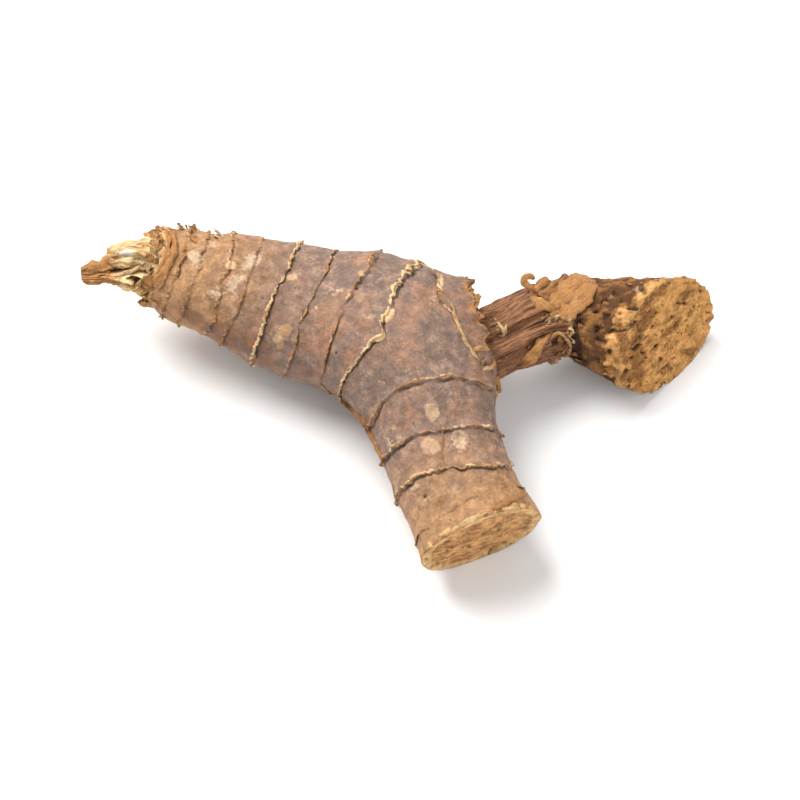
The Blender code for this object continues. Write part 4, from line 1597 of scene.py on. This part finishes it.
class Value:
    """A shader socket that Python's arithmetic works on."""

    def __init__(self, nodes: "Nodes", socket: Socket) -> None:
        """Wraps a socket.

        Args:
            nodes: the material's nodes.
            socket: the output that gives the value.
        """
        self.nodes = nodes
        self.socket = socket

    def _math(self, operation: str, first: "Value | float", second: "Value | float") -> "Value":
        """One sum or product of two values."""
        node = self.nodes.node("ShaderNodeMath", {"operation": operation}, {0: first, 1: second})
        return Value(self.nodes, node.outputs[0])

    def __add__(self, other: "Value | float") -> "Value":
        """The sum."""
        return self._math("ADD", self, other)

    __radd__ = __add__

    def __sub__(self, other: "Value | float") -> "Value":
        """The difference."""
        return self._math("SUBTRACT", self, other)

    def __rsub__(self, other: "Value | float") -> "Value":
        """The difference, the other way round."""
        return self._math("SUBTRACT", other, self)

    def __mul__(self, other: "Value | float") -> "Value":
        """The product."""
        return self._math("MULTIPLY", self, other)

    def step(self, low: float, high: float) -> "Value":
        """A smooth step.

        Args:
            low: the value at which it leaves 0.
            high: the value at which it reaches 1.

        Returns:
            The step.
        """
        settings = {"interpolation_type": "SMOOTHSTEP"}
        node = self.nodes.node("ShaderNodeMapRange", settings, {0: self, 1: low, 2: high})
        return Value(self.nodes, node.outputs[0])


class Nodes:
    """One material's nodes, made through one method."""

    def __init__(self, name: str) -> None:
        """Starts a material with its Principled shader.

        Args:
            name: the material's name.
        """
        self.material = bpy.data.materials.new(name)
        self.material.use_nodes = True
        self.tree = self.material.node_tree
        self.shader = self.tree.nodes["Principled BSDF"]

    def node(self, kind: str, settings: dict, inputs: dict) -> bpy.types.Node:
        """Adds a node.

        Args:
            kind: the node's type.
            settings: its own settings, which are set first.
            inputs: the value or link of each socket, by name or number.

        Returns:
            The node.
        """
        made = self.tree.nodes.new(kind)
        for key, value in settings.items():
            setattr(made, key, value)
        for key, value in inputs.items():
            self.join(made.inputs[key], value)
        return made

    def join(self, target: Socket, value: object) -> None:
        """Links or sets one input.

        Args:
            target: the input.
            value: the value, socket or setting for it.
        """
        if isinstance(value, Value):
            value = value.socket
        if isinstance(value, Socket):
            self.tree.links.new(value, target)
        else:
            target.default_value = value

    def position(self) -> Socket:
        """The place on the object, in millimetres."""
        place = self.node("ShaderNodeTexCoord", {}, {}).outputs["Object"]
        return self.scaled(place, (1 / MM,) * 3)

    def scaled(self, vector: Socket, by: tuple) -> Socket:
        """A vector stretched along its axes."""
        settings = {"operation": "MULTIPLY"}
        return self.node("ShaderNodeVectorMath", settings, {0: vector, 1: by}).outputs[0]

    def mark(self, name: str) -> Value:
        """A number that the mesh carries at its points."""
        node = self.node("ShaderNodeAttribute", {"attribute_name": name}, {})
        return Value(self, node.outputs["Fac"])

    def carried(self, name: str) -> Socket:
        """A vector that the mesh carries at its points."""
        return self.node("ShaderNodeAttribute", {"attribute_name": name}, {}).outputs["Vector"]

    def noise(self, vector: Socket, scale: float, detail: float = 3.0, rough: float = 0.55) -> Value:
        """Noise from 0 to 1."""
        inputs = {"Vector": vector, "Scale": scale, "Detail": detail, "Roughness": rough}
        return Value(self, self.node("ShaderNodeTexNoise", {}, inputs).outputs[0])

    def cells(self, vector: Socket, scale: float) -> Value:
        """The distance to the nearest of many scattered points."""
        inputs = {"Vector": vector, "Scale": scale}
        return Value(self, self.node("ShaderNodeTexVoronoi", {}, inputs).outputs[0])

    def mix(self, share: "Value | float", first: object, second: object) -> Socket:
        """A colour between two."""
        inputs = {0: share, 6: first, 7: second}
        return self.node("ShaderNodeMix", {"data_type": "RGBA"}, inputs).outputs[2]

    def lit(self, colour: "Socket | tuple", value: Value) -> Socket:
        """A colour made lighter or darker by a number."""
        inputs = {0: colour[:3] if isinstance(colour, tuple) else colour, "Scale": value}
        return self.node("ShaderNodeVectorMath", {"operation": "SCALE"}, inputs).outputs[0]

    def bump(self, height: Value, strength: float) -> Socket:
        """A normal from a height in millimetres."""
        inputs = {"Height": height, "Distance": MM, "Strength": strength}
        return self.node("ShaderNodeBump", {}, inputs).outputs[0]

    def finished(
        self, colour: object, roughness: object, specular: float, normal: object = None
    ) -> bpy.types.Material:
        """Joins the looks to the shader.

        Args:
            colour: the base colour.
            roughness: the roughness.
            specular: how much it reflects.
            normal: the normal, if it isn't the mesh's own.

        Returns:
            The material.
        """
        looks = {"Base Color": colour, "Roughness": roughness, "Specular IOR Level": specular}
        for key, value in looks.items():
            self.join(self.shader.inputs[key], value)
        if normal is not None:
            self.join(self.shader.inputs["Normal"], normal)
        return self.material


def rgb(*values: float) -> tuple[float, float, float, float]:
    """A linear colour with full alpha."""
    return (*values, 1.0)


@dataclass(frozen=True)
class BarkFinish:
    """Dull grey-brown bark with cream leaf scars, ochre cuts, rusty fibre and a brown sponge, and with
    painted shade in its hollows, cracks, pores and the dips beside its rings.
    """

    grey: tuple = rgb(0.322, 0.168, 0.099)
    purple: tuple = rgb(0.222, 0.143, 0.107)
    tan: tuple = rgb(0.405, 0.212, 0.093)
    umber: tuple = rgb(0.120, 0.066, 0.040)
    # The next colour is partly real reddish bark and partly painted shade.
    rust: tuple = rgb(0.225, 0.088, 0.036)
    tan_scar: tuple = rgb(0.420, 0.235, 0.110)
    cream_scar: tuple = rgb(0.780, 0.535, 0.275)
    pale: tuple = rgb(0.500, 0.325, 0.190)
    dust: tuple = rgb(0.570, 0.430, 0.295)
    shade: tuple = rgb(0.040, 0.021, 0.012)
    flesh: tuple = rgb(0.620, 0.325, 0.125)
    flesh_deep: tuple = rgb(0.370, 0.168, 0.052)
    band: tuple = rgb(0.640, 0.390, 0.165)
    fibre: tuple = rgb(0.335, 0.140, 0.052)
    fibre_dark: tuple = rgb(0.092, 0.036, 0.016)
    sponge: tuple = rgb(0.270, 0.118, 0.036)
    # The next colour is the sponge's low places: painted shade, with random tone.
    sponge_deep: tuple = rgb(0.095, 0.038, 0.011)
    sponge_face: tuple = rgb(0.690, 0.345, 0.108)
    sponge_face_deep: tuple = rgb(0.340, 0.148, 0.041)
    roughness: float = 0.46
    specular: float = 0.36
    relief: float = 0.85

    def make(self) -> bpy.types.Material:
        """Builds the material.

        Returns:
            The material.
        """
        nodes = Nodes("bark")
        place = nodes.position()
        along = nodes.scaled(nodes.carried("wrap"), (1.0, 1.0, 0.13))

        blotch = nodes.noise(place, 0.16, 3.0)
        cloud = nodes.noise(place, 0.40, 4.0, 0.6)
        mottle = nodes.noise(place, 0.85, 4.0, 0.62)
        speck = nodes.noise(place, 3.0, 3.0, 0.6)
        streak = nodes.noise(along, 1.6, 4.0, 0.6)
        thread = nodes.noise(along, 4.2, 3.0, 0.6)
        uneven = mottle * 0.55 + speck * 0.45

        colour = nodes.mix((blotch * 0.45 + cloud * 0.55).step(0.39, 0.55), self.grey, self.purple)
        warm = (nodes.mark("warm") + cloud * 0.9 - 0.45).step(0.15, 0.85)
        colour = nodes.mix(warm, colour, self.tan)
        colour = nodes.mix((cloud * 0.65 + streak * 0.35).step(0.50, 0.66) * 0.45, colour, self.umber)
        grain = 0.20 + mottle.step(0.30, 0.72) * 0.52 + speck.step(0.28, 0.72) * 0.30 + streak * 0.36
        colour = nodes.lit(colour, grain + cloud * 0.30)
        dust = (speck * 0.3 + mottle * 0.7 + blotch * 0.4 - 0.2).step(0.54, 0.74) * 0.42
        colour = nodes.mix(dust, colour, self.pale)
        # Painted shade: small specks as in tiny pits, with no relief.
        pits = (1 - nodes.cells(place, 0.9).step(0.05, 0.14)) * cloud.step(0.50, 0.58)
        colour = nodes.mix(pits * 0.75, colour, self.shade)

        flecks = (1 - nodes.cells(place, 1.5).step(0.05, 0.15)) * mottle.step(0.48, 0.58)
        colour = nodes.mix(flecks * 0.6, colour, self.dust)
        # Rusty bark, partly painted shade on the arm's underside.
        rust = (nodes.mark("rust") + uneven * 1.2 - 0.6).step(0.05, 0.95)
        rusty = nodes.mix(mottle.step(0.38, 0.60), self.umber, self.rust)
        colour = nodes.mix(rust * 0.85, colour, nodes.lit(rusty, 0.35 + streak * 0.7 + speck * 0.6))
        fibre = nodes.mark("fibre")
        strand = nodes.noise(along, 9.0, 3.0, 0.65)
        woody = nodes.mix((thread * 0.5 + strand * 0.5).step(0.42, 0.58), self.fibre_dark, self.fibre)
        woody = nodes.lit(woody, 0.25 + streak * 0.9 + mottle * 0.6)
        colour = nodes.mix(fibre * 0.95, colour, woody)

        sponge = nodes.mark("sponge")
        cut = nodes.mark("cut")
        band = nodes.mark("band")
        # The shade mark carries painted light and shade: the sponge is lighter on its raised lumps, and the
        # spongy face lighter to the right.
        swell = nodes.mark("shade") + uneven * 0.9 - 0.45
        brown = nodes.mix(swell.step(0.15, 0.85), self.sponge_deep, self.sponge)
        brown = nodes.lit(brown, 0.20 + speck * 1.0 + mottle * 0.6)
        colour = nodes.mix(sponge, colour, brown)

        patch = (nodes.mark("pale") + uneven * 1.1 - 0.55).step(0.22, 0.80)
        colour = nodes.mix(patch * 0.8, colour, nodes.lit(self.pale, 0.35 + mottle * 0.75 + speck * 0.6))
        dusty = (nodes.mark("dust") * 0.8 + mottle * 0.8 + speck * 1.1 - 0.95).step(0.30, 0.62)
        colour = nodes.mix(dusty * 0.62, colour, nodes.lit(self.dust, 0.35 + speck * 1.1))

        flesh = nodes.mix(swell.step(0.05, 0.75), self.flesh_deep, self.flesh)
        spongy = nodes.mix(swell.step(0.10, 0.60), self.sponge_face_deep, self.sponge_face)
        flesh = nodes.mix(sponge.step(0.1, 0.5), flesh, spongy)
        edge = (band + speck * 0.7 - 0.35).step(0.35, 0.75)
        flesh = nodes.mix(edge * (1 - sponge * 0.7), flesh, self.band)
        flesh = nodes.lit(flesh, 0.18 + mottle.step(0.30, 0.7) * 0.55 + speck * 0.85)
        colour = nodes.mix((cut + uneven * 0.5 - 0.25).step(0.4, 0.6), colour, flesh)
        # Painted shade in small pores of the sponge.
        holes = nodes.cells(nodes.scaled(place, (1.0, 1.0, 0.6)), 1.15).step(0.08, 0.20)
        pores = (1 - holes) * speck.step(0.40, 0.52)
        colour = nodes.mix(pores * sponge * 0.8, colour, self.shade)

        # Painted shade in the dip beside each ring.
        groove = (nodes.mark("groove") + uneven * 0.6 - 0.3).step(0.25, 0.75)
        colour = nodes.mix(groove * 0.75, colour, self.shade)
        scar = nodes.mix(nodes.mark("cream").step(0.15, 0.85), self.tan_scar, self.cream_scar)
        crest = (nodes.mark("crest") + uneven * 0.7 - 0.35).step(0.30, 0.60)
        colour = nodes.mix(crest * 0.92, colour, nodes.lit(scar, 0.40 + mottle * 0.6 + speck * 0.55))
        # Painted shade in hollows, cracks, splits, pores and tears.
        dark = (nodes.mark("dark") + uneven * 0.5 - 0.25).step(0.15, 0.95)
        colour = nodes.mix(dark * 0.88, colour, self.shade)

        rough = self.roughness + mottle * 0.25 + cut * 0.2 + sponge * 0.2 + speck * 0.12
        height = mottle * 0.16 + speck * 0.12 + thread * 0.06 + nodes.noise(place, 9.0, 2.0, 0.6) * 0.04
        height = height + nodes.noise(place, 2.6, 3.0, 0.7) * (cut + sponge) * 0.22
        return nodes.finished(colour, rough, self.specular, nodes.bump(height, self.relief))


@dataclass(frozen=True)
class HuskFinish:
    """Torn husk and fibre: from brown through orange-ochre to cream, by the piece's shade, with painted
    shade where it is sunk.
    """

    brown: tuple = rgb(0.150, 0.062, 0.026)
    ochre: tuple = rgb(0.460, 0.215, 0.072)
    cream: tuple = rgb(0.800, 0.560, 0.285)
    white: tuple = rgb(0.800, 0.720, 0.580)
    # The next colour is the painted shade in the husk's holes, splits, sunk middle lines and edges.
    umber: tuple = rgb(0.060, 0.034, 0.015)
    roughness: float = 0.60
    specular: float = 0.3
    relief: float = 0.8

    def make(self) -> bpy.types.Material:
        """Builds the material.

        Returns:
            The material.
        """
        nodes = Nodes("husk")
        place = nodes.position()
        along = nodes.scaled(nodes.carried("wrap"), (1.0, 1.0, 0.22))
        mottle = nodes.noise(place, 1.1, 4.0, 0.62)
        speck = nodes.noise(place, 4.0, 3.0, 0.65)
        thread = nodes.noise(along, 3.0, 4.0, 0.6)
        # The shade mark is tone; on the torn shoot it also holds painted light and shade.
        shade = nodes.mark("shade") + mottle * 0.5 + thread * 0.3 - 0.4
        colour = nodes.mix(shade.step(0.0, 0.36), self.brown, self.ochre)
        colour = nodes.mix(shade.step(0.52, 0.86), colour, self.cream)
        colour = nodes.mix(shade.step(0.92, 1.15), colour, self.white)
        lines = nodes.noise(along, 6.5, 3.0, 0.65)
        colour = nodes.lit(colour, lines.step(0.30, 0.62) * 0.50 + thread * 0.45 + speck * 0.75)
        # Painted shade in holes, splits, sunk middle lines and edges.
        dark = (nodes.mark("dark") + thread * 0.5 - 0.25).step(0.2, 0.9)
        colour = nodes.mix(dark * 0.9, colour, self.umber)
        rough = self.roughness + speck * 0.2
        height = thread * 0.20 + speck * 0.12 + mottle * 0.12
        return nodes.finished(colour, rough, self.specular, nodes.bump(height, self.relief))


@dataclass(frozen=True)
class FloorFinish:
    """A plain pale floor."""

    colour: tuple = rgb(0.90, 0.90, 0.90)
    roughness: float = 0.85
    specular: float = 0.1

    def make(self) -> bpy.types.Material:
        """Builds the material."""
        return Nodes("pale_floor").finished(self.colour, self.roughness, self.specular)


@dataclass(frozen=True)
class Lamp:
    """A soft round light: its direction from the part, size, power and colour."""

    name: str
    away: tuple
    size: float
    power: float
    colour: tuple


@dataclass
class Studio:
    """The floor, the soft lights and the camera."""

    target: tuple = (0.0 * MM, -0.54 * MM, 8.0 * MM)
    lens: float = 135.0
    frame_width: float = 92.0 * MM
    sensor: float = 36.0
    clip: tuple = (0.01, 10.0)
    lamps: tuple = (
        Lamp("key_light", (-0.42, 0.42, 0.82), 0.42, 4.6, (1.0, 0.985, 0.965)),
        Lamp("fill_light", (0.75, -0.45, 0.55), 0.60, 1.4, (0.97, 0.985, 1.0)),
    )
    distance: float = 0.55
    room: tuple = rgb(1.0, 1.0, 1.0)
    room_light: float = 0.55
    floor_size: float = 3.0

    def light(self, lamp: Lamp) -> None:
        """Hangs a soft light that looks at the part.

        Args:
            lamp: the light.
        """
        data = bpy.data.lights.new(lamp.name, "AREA")
        data.shape = "DISK"
        data.size = lamp.size
        data.energy = lamp.power
        data.color = lamp.colour
        back = Vector(lamp.away).normalized()
        hung = linked(lamp.name, data)
        hung.location = Vector(self.target) + back * self.distance
        hung.rotation_euler = (-back).to_track_quat("-Z", "Y").to_euler()

    def build(self) -> None:
        """Makes the stage."""
        mesh = bmesh.new()
        bmesh.ops.create_grid(mesh, x_segments=1, y_segments=1, size=self.floor_size)
        data = bpy.data.meshes.new("floor")
        mesh.to_mesh(data)
        mesh.free()
        floor = linked("floor", data)
        floor.data.materials.append(FloorFinish().make())
        for lamp in self.lamps:
            self.light(lamp)
        world = bpy.data.worlds.new("soft_room")
        world.use_nodes = True
        backdrop = world.node_tree.nodes["Background"]
        backdrop.inputs["Color"].default_value = self.room
        backdrop.inputs["Strength"].default_value = self.room_light
        bpy.context.scene.world = world
        settings = bpy.context.scene.view_settings
        settings.view_transform = "Standard"
        settings.look = "None"

    def camera(self) -> None:
        """Sets the camera where the part shows the face that it shows in the picture."""
        data = bpy.data.cameras.new("camera")
        data.lens = self.lens
        data.sensor_width = self.sensor
        data.clip_start, data.clip_end = self.clip
        camera = linked("camera", data)
        away = self.frame_width * self.lens / data.sensor_width
        back = Vector(PICTURE_OUT)
        camera.location = Vector(self.target) + back * away
        camera.rotation_mode = "QUATERNION"
        camera.rotation_quaternion = (-back).to_track_quat("-Z", "Y")
        bpy.context.scene.camera = camera


STEM_WARMTH = (
    (0.0, 5.0, 10.0, 15.0, 22.0, 34.0, 44.0, 50.0, 58.0),
    (1.0, 0.80, 0.50, 0.28, 0.12, 0.0, 0.22, 0.60, 0.95),
)
BRANCH_WARMTH = 0.45
FACE_PORES = spots_of(
    (658.8, 449.4, 0.62, 0.26, 0.65, 1.0), (670.0, 448.8, 0.45, 0.24, 0.8, 1.0),
    (685.3, 425.9, 0.30, 0.24, 0.5, 1.0), (678.0, 433.0, 0.34, 0.14, 0.6, 0.9),
    (656.9, 437.2, 0.42, 0.15, 0.7, 0.9), (649.3, 443.1, 0.34, 0.18, 0.6, 0.8),
    (656.0, 455.0, 0.30, 0.14, 0.8, 0.9), (672.9, 455.2, 0.24, 0.16, 0.4, 0.9),
    (646.8, 449.8, 0.24, 0.14, 0.6, 0.8), (662.8, 457.4, 0.30, 0.12, 0.7, 0.8),
    (662.0, 431.3, 0.34, 0.12, 0.6, 0.8), (667.0, 438.9, 0.34, 0.11, 0.6, 0.8),
    (672.9, 440.6, 0.26, 0.12, 0.6, 0.8), (651.0, 435.5, 0.28, 0.12, 0.6, 0.7),
    (686.4, 434.7, 0.26, 0.10, 0.7, 0.8), (664.0, 444.0, 0.30, 0.10, 0.65, 0.7),
)
STEM_FLAKES = (
    FlakeField(40, (-0.9, 0.0), ALL_ROUND, (0.6, 1.1), (0.8, 1.7), (0.0, 0.22), (0.45, 0.75), 3),
    FlakeField(22, (0.0, 1.2), ALL_ROUND, (0.6, 1.2), (0.8, 1.6), (-0.05, 0.12), (0.30, 0.50), 5),
    FlakeField(9, (1.0, 4.4), (-1.5, 1.9), (0.7, 1.4), (0.6, 1.3), (-0.10, 0.05), (0.25, 0.45), 7),
    FlakeField(9, (1.4, 3.8), (-1.35, -0.75), (0.6, 1.2), (0.7, 1.2), (0.2, 0.6), (0.25, 0.45), 9),
    FlakeField(3, (6.2, 7.0), (-1.05, -0.65), (1.0, 1.5), (0.5, 0.8), (0.2, 0.4), (1.0, 1.2), 11),
    FlakeField(14, (36.6, 38.0), (-1.25, -0.75), (0.35, 0.8), (0.25, 0.6), (0.2, 0.5), (0.45, 0.9), 37),
)
SHEATH_FLAKES = (
    FlakeField(12, (-0.5, 0.3), (-1.4, 1.8), (0.4, 0.8), (0.6, 1.2), (0.0, 0.12), (0.20, 0.50), 13),
)
BRANCH_FLAKES = (
    FlakeField(26, (16.2, 18.0), ALL_ROUND, (0.6, 1.3), (0.5, 1.2), (0.05, 0.3), (0.15, 0.42), 17),
    FlakeField(8, (16.0, 18.4), (0.8, 1.9), (0.5, 1.0), (0.3, 0.7), (0.2, 0.5), (0.45, 0.75), 19),
    FlakeField(9, (22.5, 29.5), (-1.1, -0.6), (0.6, 1.2), (0.6, 1.2), (-0.1, 0.1), (0.40, 0.60), 23, False),
    FlakeField(26, (18.5, 25.0), (-1.2, 2.3), (0.5, 1.1), (0.5, 1.0), (-0.05, 0.12), (0.10, 0.40), 29, False),
    FlakeField(12, (9.6, 13.2), (0.8, 1.8), (0.6, 1.4), (0.3, 0.6), (0.1, 0.35), (0.20, 0.45), 31),
    FlakeField(7, (14.4, 16.6), (0.25, 0.60), (0.4, 0.9), (0.2, 0.5), (0.2, 0.5), (0.65, 0.9), 33),
    FlakeField(5, (10.0, 10.9), (-0.2, 0.4), (0.4, 0.9), (0.2, 0.4), (0.1, 0.4), (0.65, 0.9), 35),
)
STRIPS = (
    Strip(((604, 420, 1.3, 0.35), (611, 415, 1.6, 0.65), (618, 410.5, 1.6, 0.75), (626, 407.5, 1.3, 0.60)),
          thick=0.5, arch=0.25, ragged=0.2, shade=(0.36, 0.30), blunt=0.75, ridges=0.25, shaded_edges=0.9),
    Strip(((607, 423, 1.2, 0.35), (613, 418.5, 1.4, 0.60), (620, 413.5, 1.4, 0.70), (628, 410, 1.0, 0.55)),
          thick=0.5, arch=0.15, ragged=0.2, shade=(0.30, 0.26), groove=0.25, seed=2.0, blunt=0.75,
          ridges=0.25, shaded_edges=1.0),
    Strip(((613, 428, 2.0, 0.20), (618, 424, 2.6, 0.35), (625, 418, 3.0, 0.45), (632, 412, 2.6, 0.40)),
          thick=0.35, arch=0.25, shade=(0.44, 0.42), seed=3.0, blunt=0.8, ridges=0.30, shaded_edges=0.6),
    Strip(((617, 434, 1.6, 0.10), (623, 429, 2.2, 0.25), (629, 423, 2.4, 0.30), (636, 416, 1.6, 0.20)),
          arch=0.15, ragged=0.45, shade=(0.34, 0.40), seed=18.0, blunt=0.7, ridges=0.30, shaded_edges=0.6),
    Strip(((604.5, 419, 0.9, 0.0), (600, 417, 0.9, 0.2), (597.8, 414.5, 0.9, 0.3), (599, 411.8, 0.8, 0.3),
           (602.5, 411.6, 0.8, 0.2), (603.8, 413.6, 0.6, 0.0)),
          shade=(0.36, 0.55), edge_shade=0.35, seed=4.0, blunt=0.6, held_at=(604, 421)),
    Strip(((602, 423, 0.8, 0.10), (606, 426, 1.3, 0.2), (611, 429, 1.4, 0.25), (617, 430, 0.9, 0.15)),
          thick=0.25, arch=0.1, ragged=0.5, shade=(0.45, 0.60), edge_shade=0.15, seed=5.0, blunt=0.5,
          ridges=0.15),
    Strip(((583, 434, 0.22, 0.05), (586, 439, 0.40, 0.2), (588, 443, 0.5, 0.2)),
          thick=0.2, ragged=0.7, shade=(0.75, 0.9), seed=6.0),
    Strip(((589, 437, 0.16, 0.05), (588, 440, 0.3, 0.2), (587, 444, 0.3, 0.1)),
          thick=0.15, ragged=0.6, shade=(0.7, 0.8), seed=7.0),
    Strip(((609, 436, 0.18, 0.1), (613, 434, 0.3, 0.3), (618, 433, 0.2, 0.2)),
          thick=0.15, ragged=0.6, shade=(0.75, 0.9), seed=8.0),
    Strip(((594, 460, 0.9, 0.10), (599, 456, 1.3, 0.3), (604, 451, 1.3, 0.35), (609, 446, 1.0, 0.25),
           (613, 441, 0.6, 0.15)),
          thick=0.35, arch=0.15, ragged=0.6, shade=(0.25, 0.50), edge_shade=0.15, seed=9.0, blunt=0.5,
          ridges=0.3),
    Strip(((611.5, 446, 0.35, 0.2), (613.5, 443, 0.45, 0.4), (617.5, 442, 0.45, 0.45),
           (621, 445, 0.4, 0.4), (623, 449.5, 0.45, 0.4), (623.5, 453, 0.25, 0.3)),
          thick=0.25, ragged=0.7, shade=(0.50, 0.75), seed=10.0),
    Strip(((571, 452, 0.4, 0.1), (574, 450, 0.6, 0.3), (579, 451, 0.5, 0.2)),
          ragged=0.8, shade=(0.55, 0.7), seed=11.0),
    Strip(((582, 456, 0.4, 0.1), (581, 460, 0.6, 0.3), (576, 462, 0.5, 0.2)),
          ragged=0.8, shade=(0.5, 0.65), seed=19.0),
    Strip(((583, 465, 0.8, 0.05), (586, 478, 1.3, 0.10), (588, 492, 1.3, 0.10), (592, 507, 1.0, 0.08),
           (597, 519, 0.7, 0.05)),
          thick=0.25, arch=0.1, ragged=0.25, shade=(0.34, 0.42), edge_shade=0.1, groove=0.2, seed=12.0,
          blunt=0.5, ridges=0.15),
    Strip(((502, 476, 0.8, 0.05), (509, 482, 0.9, 0.15), (516, 489, 0.9, 0.2), (521, 499, 0.8, 0.2),
           (525, 509, 0.6, 0.1)),
          thick=0.35, arch=0.15, shade=(0.10, 0.24), edge_shade=0.05, seed=13.0, blunt=0.5, ridges=0.2),
    Strip(((528, 524, 0.5, 0.1), (530, 531, 0.6, 0.25), (533, 537, 0.5, 0.15)),
          thick=0.25, ragged=0.5, shade=(0.6, 0.75), seed=14.0),
    Strip(((556, 546, 0.4, 0.05), (562, 541, 0.5, 0.15), (569, 537, 0.5, 0.15), (577, 533.5, 0.4, 0.1)),
          thick=0.25, ragged=0.9, shade=(0.6, 0.8), seed=15.0),
    Strip(((580, 532, 0.5, 0.05), (587, 528.5, 0.6, 0.15), (594, 526, 0.6, 0.15), (600, 524, 0.4, 0.1)),
          thick=0.25, ragged=0.8, shade=(0.36, 0.50), seed=16.0),
    Strip(((413, 387, 0.6, 0.1), (416, 395, 0.9, 0.3), (415, 402, 1.0, 0.35), (411, 410, 1.0, 0.35),
           (405, 417, 0.9, 0.3), (397, 422, 0.7, 0.2)),
          thick=0.4, arch=0.1, ragged=0.9, shade=(0.40, 0.46), edge_shade=0.2, seed=20.0, blunt=0.5,
          ridges=0.4),
    Strip(((410, 388, 0.5, 0.2), (413, 396, 0.7, 0.4), (411.5, 404, 0.8, 0.45), (407, 411, 0.8, 0.45),
           (400, 417, 0.7, 0.35), (392, 420, 0.5, 0.2)),
          thick=0.4, arch=0.1, ragged=0.9, shade=(0.50, 0.58), edge_shade=0.25, seed=22.0, blunt=0.5,
          ridges=0.4),
    Strip(((408, 391, 0.3, 0.3), (410, 398, 0.45, 0.5), (407, 406, 0.45, 0.5), (401, 412, 0.45, 0.45),
           (394, 416.5, 0.3, 0.3)),
          thick=0.25, ragged=0.9, shade=(0.72, 0.88), seed=21.0),
    Strip(((559, 424, 0.2, 0.03), (562, 435.5, 0.35, 0.08), (566.6, 446.6, 0.4, 0.10),
           (571, 453, 0.35, 0.08), (575.5, 458, 0.2, 0.05)),
          thick=0.2, ragged=1.0, shade=(0.62, 0.78), seed=27.0),
    Strip(((383, 412, 0.35, 0.2), (388, 411, 0.45, 0.35), (393, 409.5, 0.45, 0.4), (397, 407, 0.35, 0.3)),
          thick=0.25, ragged=0.6, shade=(0.75, 0.85), seed=23.0),
    Strip(((553.5, 489, 0.12, 0.0), (555.5, 495, 0.2, 0.04), (554.2, 502, 0.2, 0.04),
           (556, 510, 0.14, 0.0)),
          thick=0.15, ragged=1.2, shade=(0.45, 0.55), seed=24.0),
    Strip(((420, 386.5, 0.7, 0.1), (422, 384.5, 0.9, 0.5), (421, 382, 0.6, 0.9), (423, 381, 0.4, 0.9)),
          ragged=0.8, shade=(0.25, 0.42), seed=25.0),
    Strip(((429, 388, 0.7, 0.1), (431, 385.5, 0.8, 0.5), (430.5, 383, 0.6, 0.8)),
          ragged=0.8, shade=(0.22, 0.40), seed=26.0),
)


def adopt(piece: bpy.types.Object, material: bpy.types.Material) -> bpy.types.Object:
    """Gives a piece its finish, and has it ride on the part's one body.

    Args:
        piece: the piece.
        material: its finish.

    Returns:
        The piece.
    """
    piece.data.materials.append(material)
    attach(piece, BODY)
    LOG.info("%s: %d faces", piece.name, len(piece.data.polygons))
    return piece


def stem_warmth(place: Array) -> Array:
    """The stem's bark is tan at its torn end and at its cut end, and grey at its elbow."""
    return np.interp(place, STEM_WARMTH[0], STEM_WARMTH[1])


def branch_warmth(place: Array) -> Array:
    """The side branch is warm all along."""
    return np.full(place.shape, BRANCH_WARMTH)


def main() -> None:
    """Builds the rhizome's pieces, then the stage."""
    logging.basicConfig(level=logging.INFO, format="%(message)s")
    for item in list(bpy.data.objects):
        bpy.data.objects.remove(item)
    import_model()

    bark = BarkFinish().make()
    husk = HuskFinish().make()
    stem_line = Limb(STEM_LINE, RIM_POINT, STEM_RINGS, seed=3.0)
    sheath_line = Limb(SHEATH_LINE, RIM_POINT, SHEATH_RINGS, seed=7.0)
    branch_line = Limb(BRANCH_LINE, 0, BRANCH_RINGS, seed=11.0)
    stem = BarkLimb(
        "stem", stem_line, 240, 0.28, 0.12, roots=STEM_ROOTS, rim=COLLAR_RIM, knife=STEM_CUT,
        face=CutFace(), merge=(sheath_line,), warmth=stem_warmth, bare_edge=0.55,
    )
    sheath = BarkLimb(
        "branch_sheath", sheath_line, 220, 0.24, 0.14, roots=SHEATH_ROOTS, rim=SHEATH_RIM,
        merge=(stem_line,), rim_bare=0.5,
    )
    branch = BarkLimb(
        "side_branch", branch_line, 236, 0.20, 0.14, roots=BRANCH_ROOTS, knife=BRANCH_CUT,
        face=SpongyFace(rim_start=0.93, sink=0.15, grain=0.10, seed=5.0, pores=FACE_PORES),
        form=branch_form, fibres=neck_fibres, warmth=branch_warmth, sponge_from=18.2, bare_edge=0.4,
        bare_fade=2.4,
    )
    limbs = (stem, sheath, branch)
    pieces = [adopt(limb.skin().build(limb.name), bark) for limb in limbs]
    for piece in pieces:
        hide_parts(NODE)
    bundles = (
        FibreBundle("torn_shoot", SHOOT_LINE, 5.0, SHOOT_HOLLOW),
        FibreBundle("splinter", SPLINTER_LINE, 8.0, 0.0, columns=84),
    )
    torn = [adopt(bundle.skin().build(bundle.name), husk) for bundle in bundles]
    ground = Ground([*pieces, *torn])

    frills = Scraps("ring_frills")
    ring_frills(stem, frills, (sheath_line, branch_line))
    ring_frills(sheath, frills, (stem_line,))
    ring_frills(branch, frills, (sheath_line,))
    flakes = Scraps("torn_scales")
    for fields, line, form in (
        (STEM_FLAKES, stem_line, None),
        (SHEATH_FLAKES, sheath_line, None),
        (BRANCH_FLAKES, branch_line, branch_form),
    ):
        for flake_field in fields:
            flake_field.scatter(line, flakes, form)
    strips = Scraps("husk_strips")
    for strip in STRIPS:
        strip.lay(ground, strips)
    for scraps in (frills, flakes, strips):
        adopt(scraps.build(), husk)

    studio = Studio()
    studio.build()
    studio.camera()


if __name__ == "__main__":
    main()
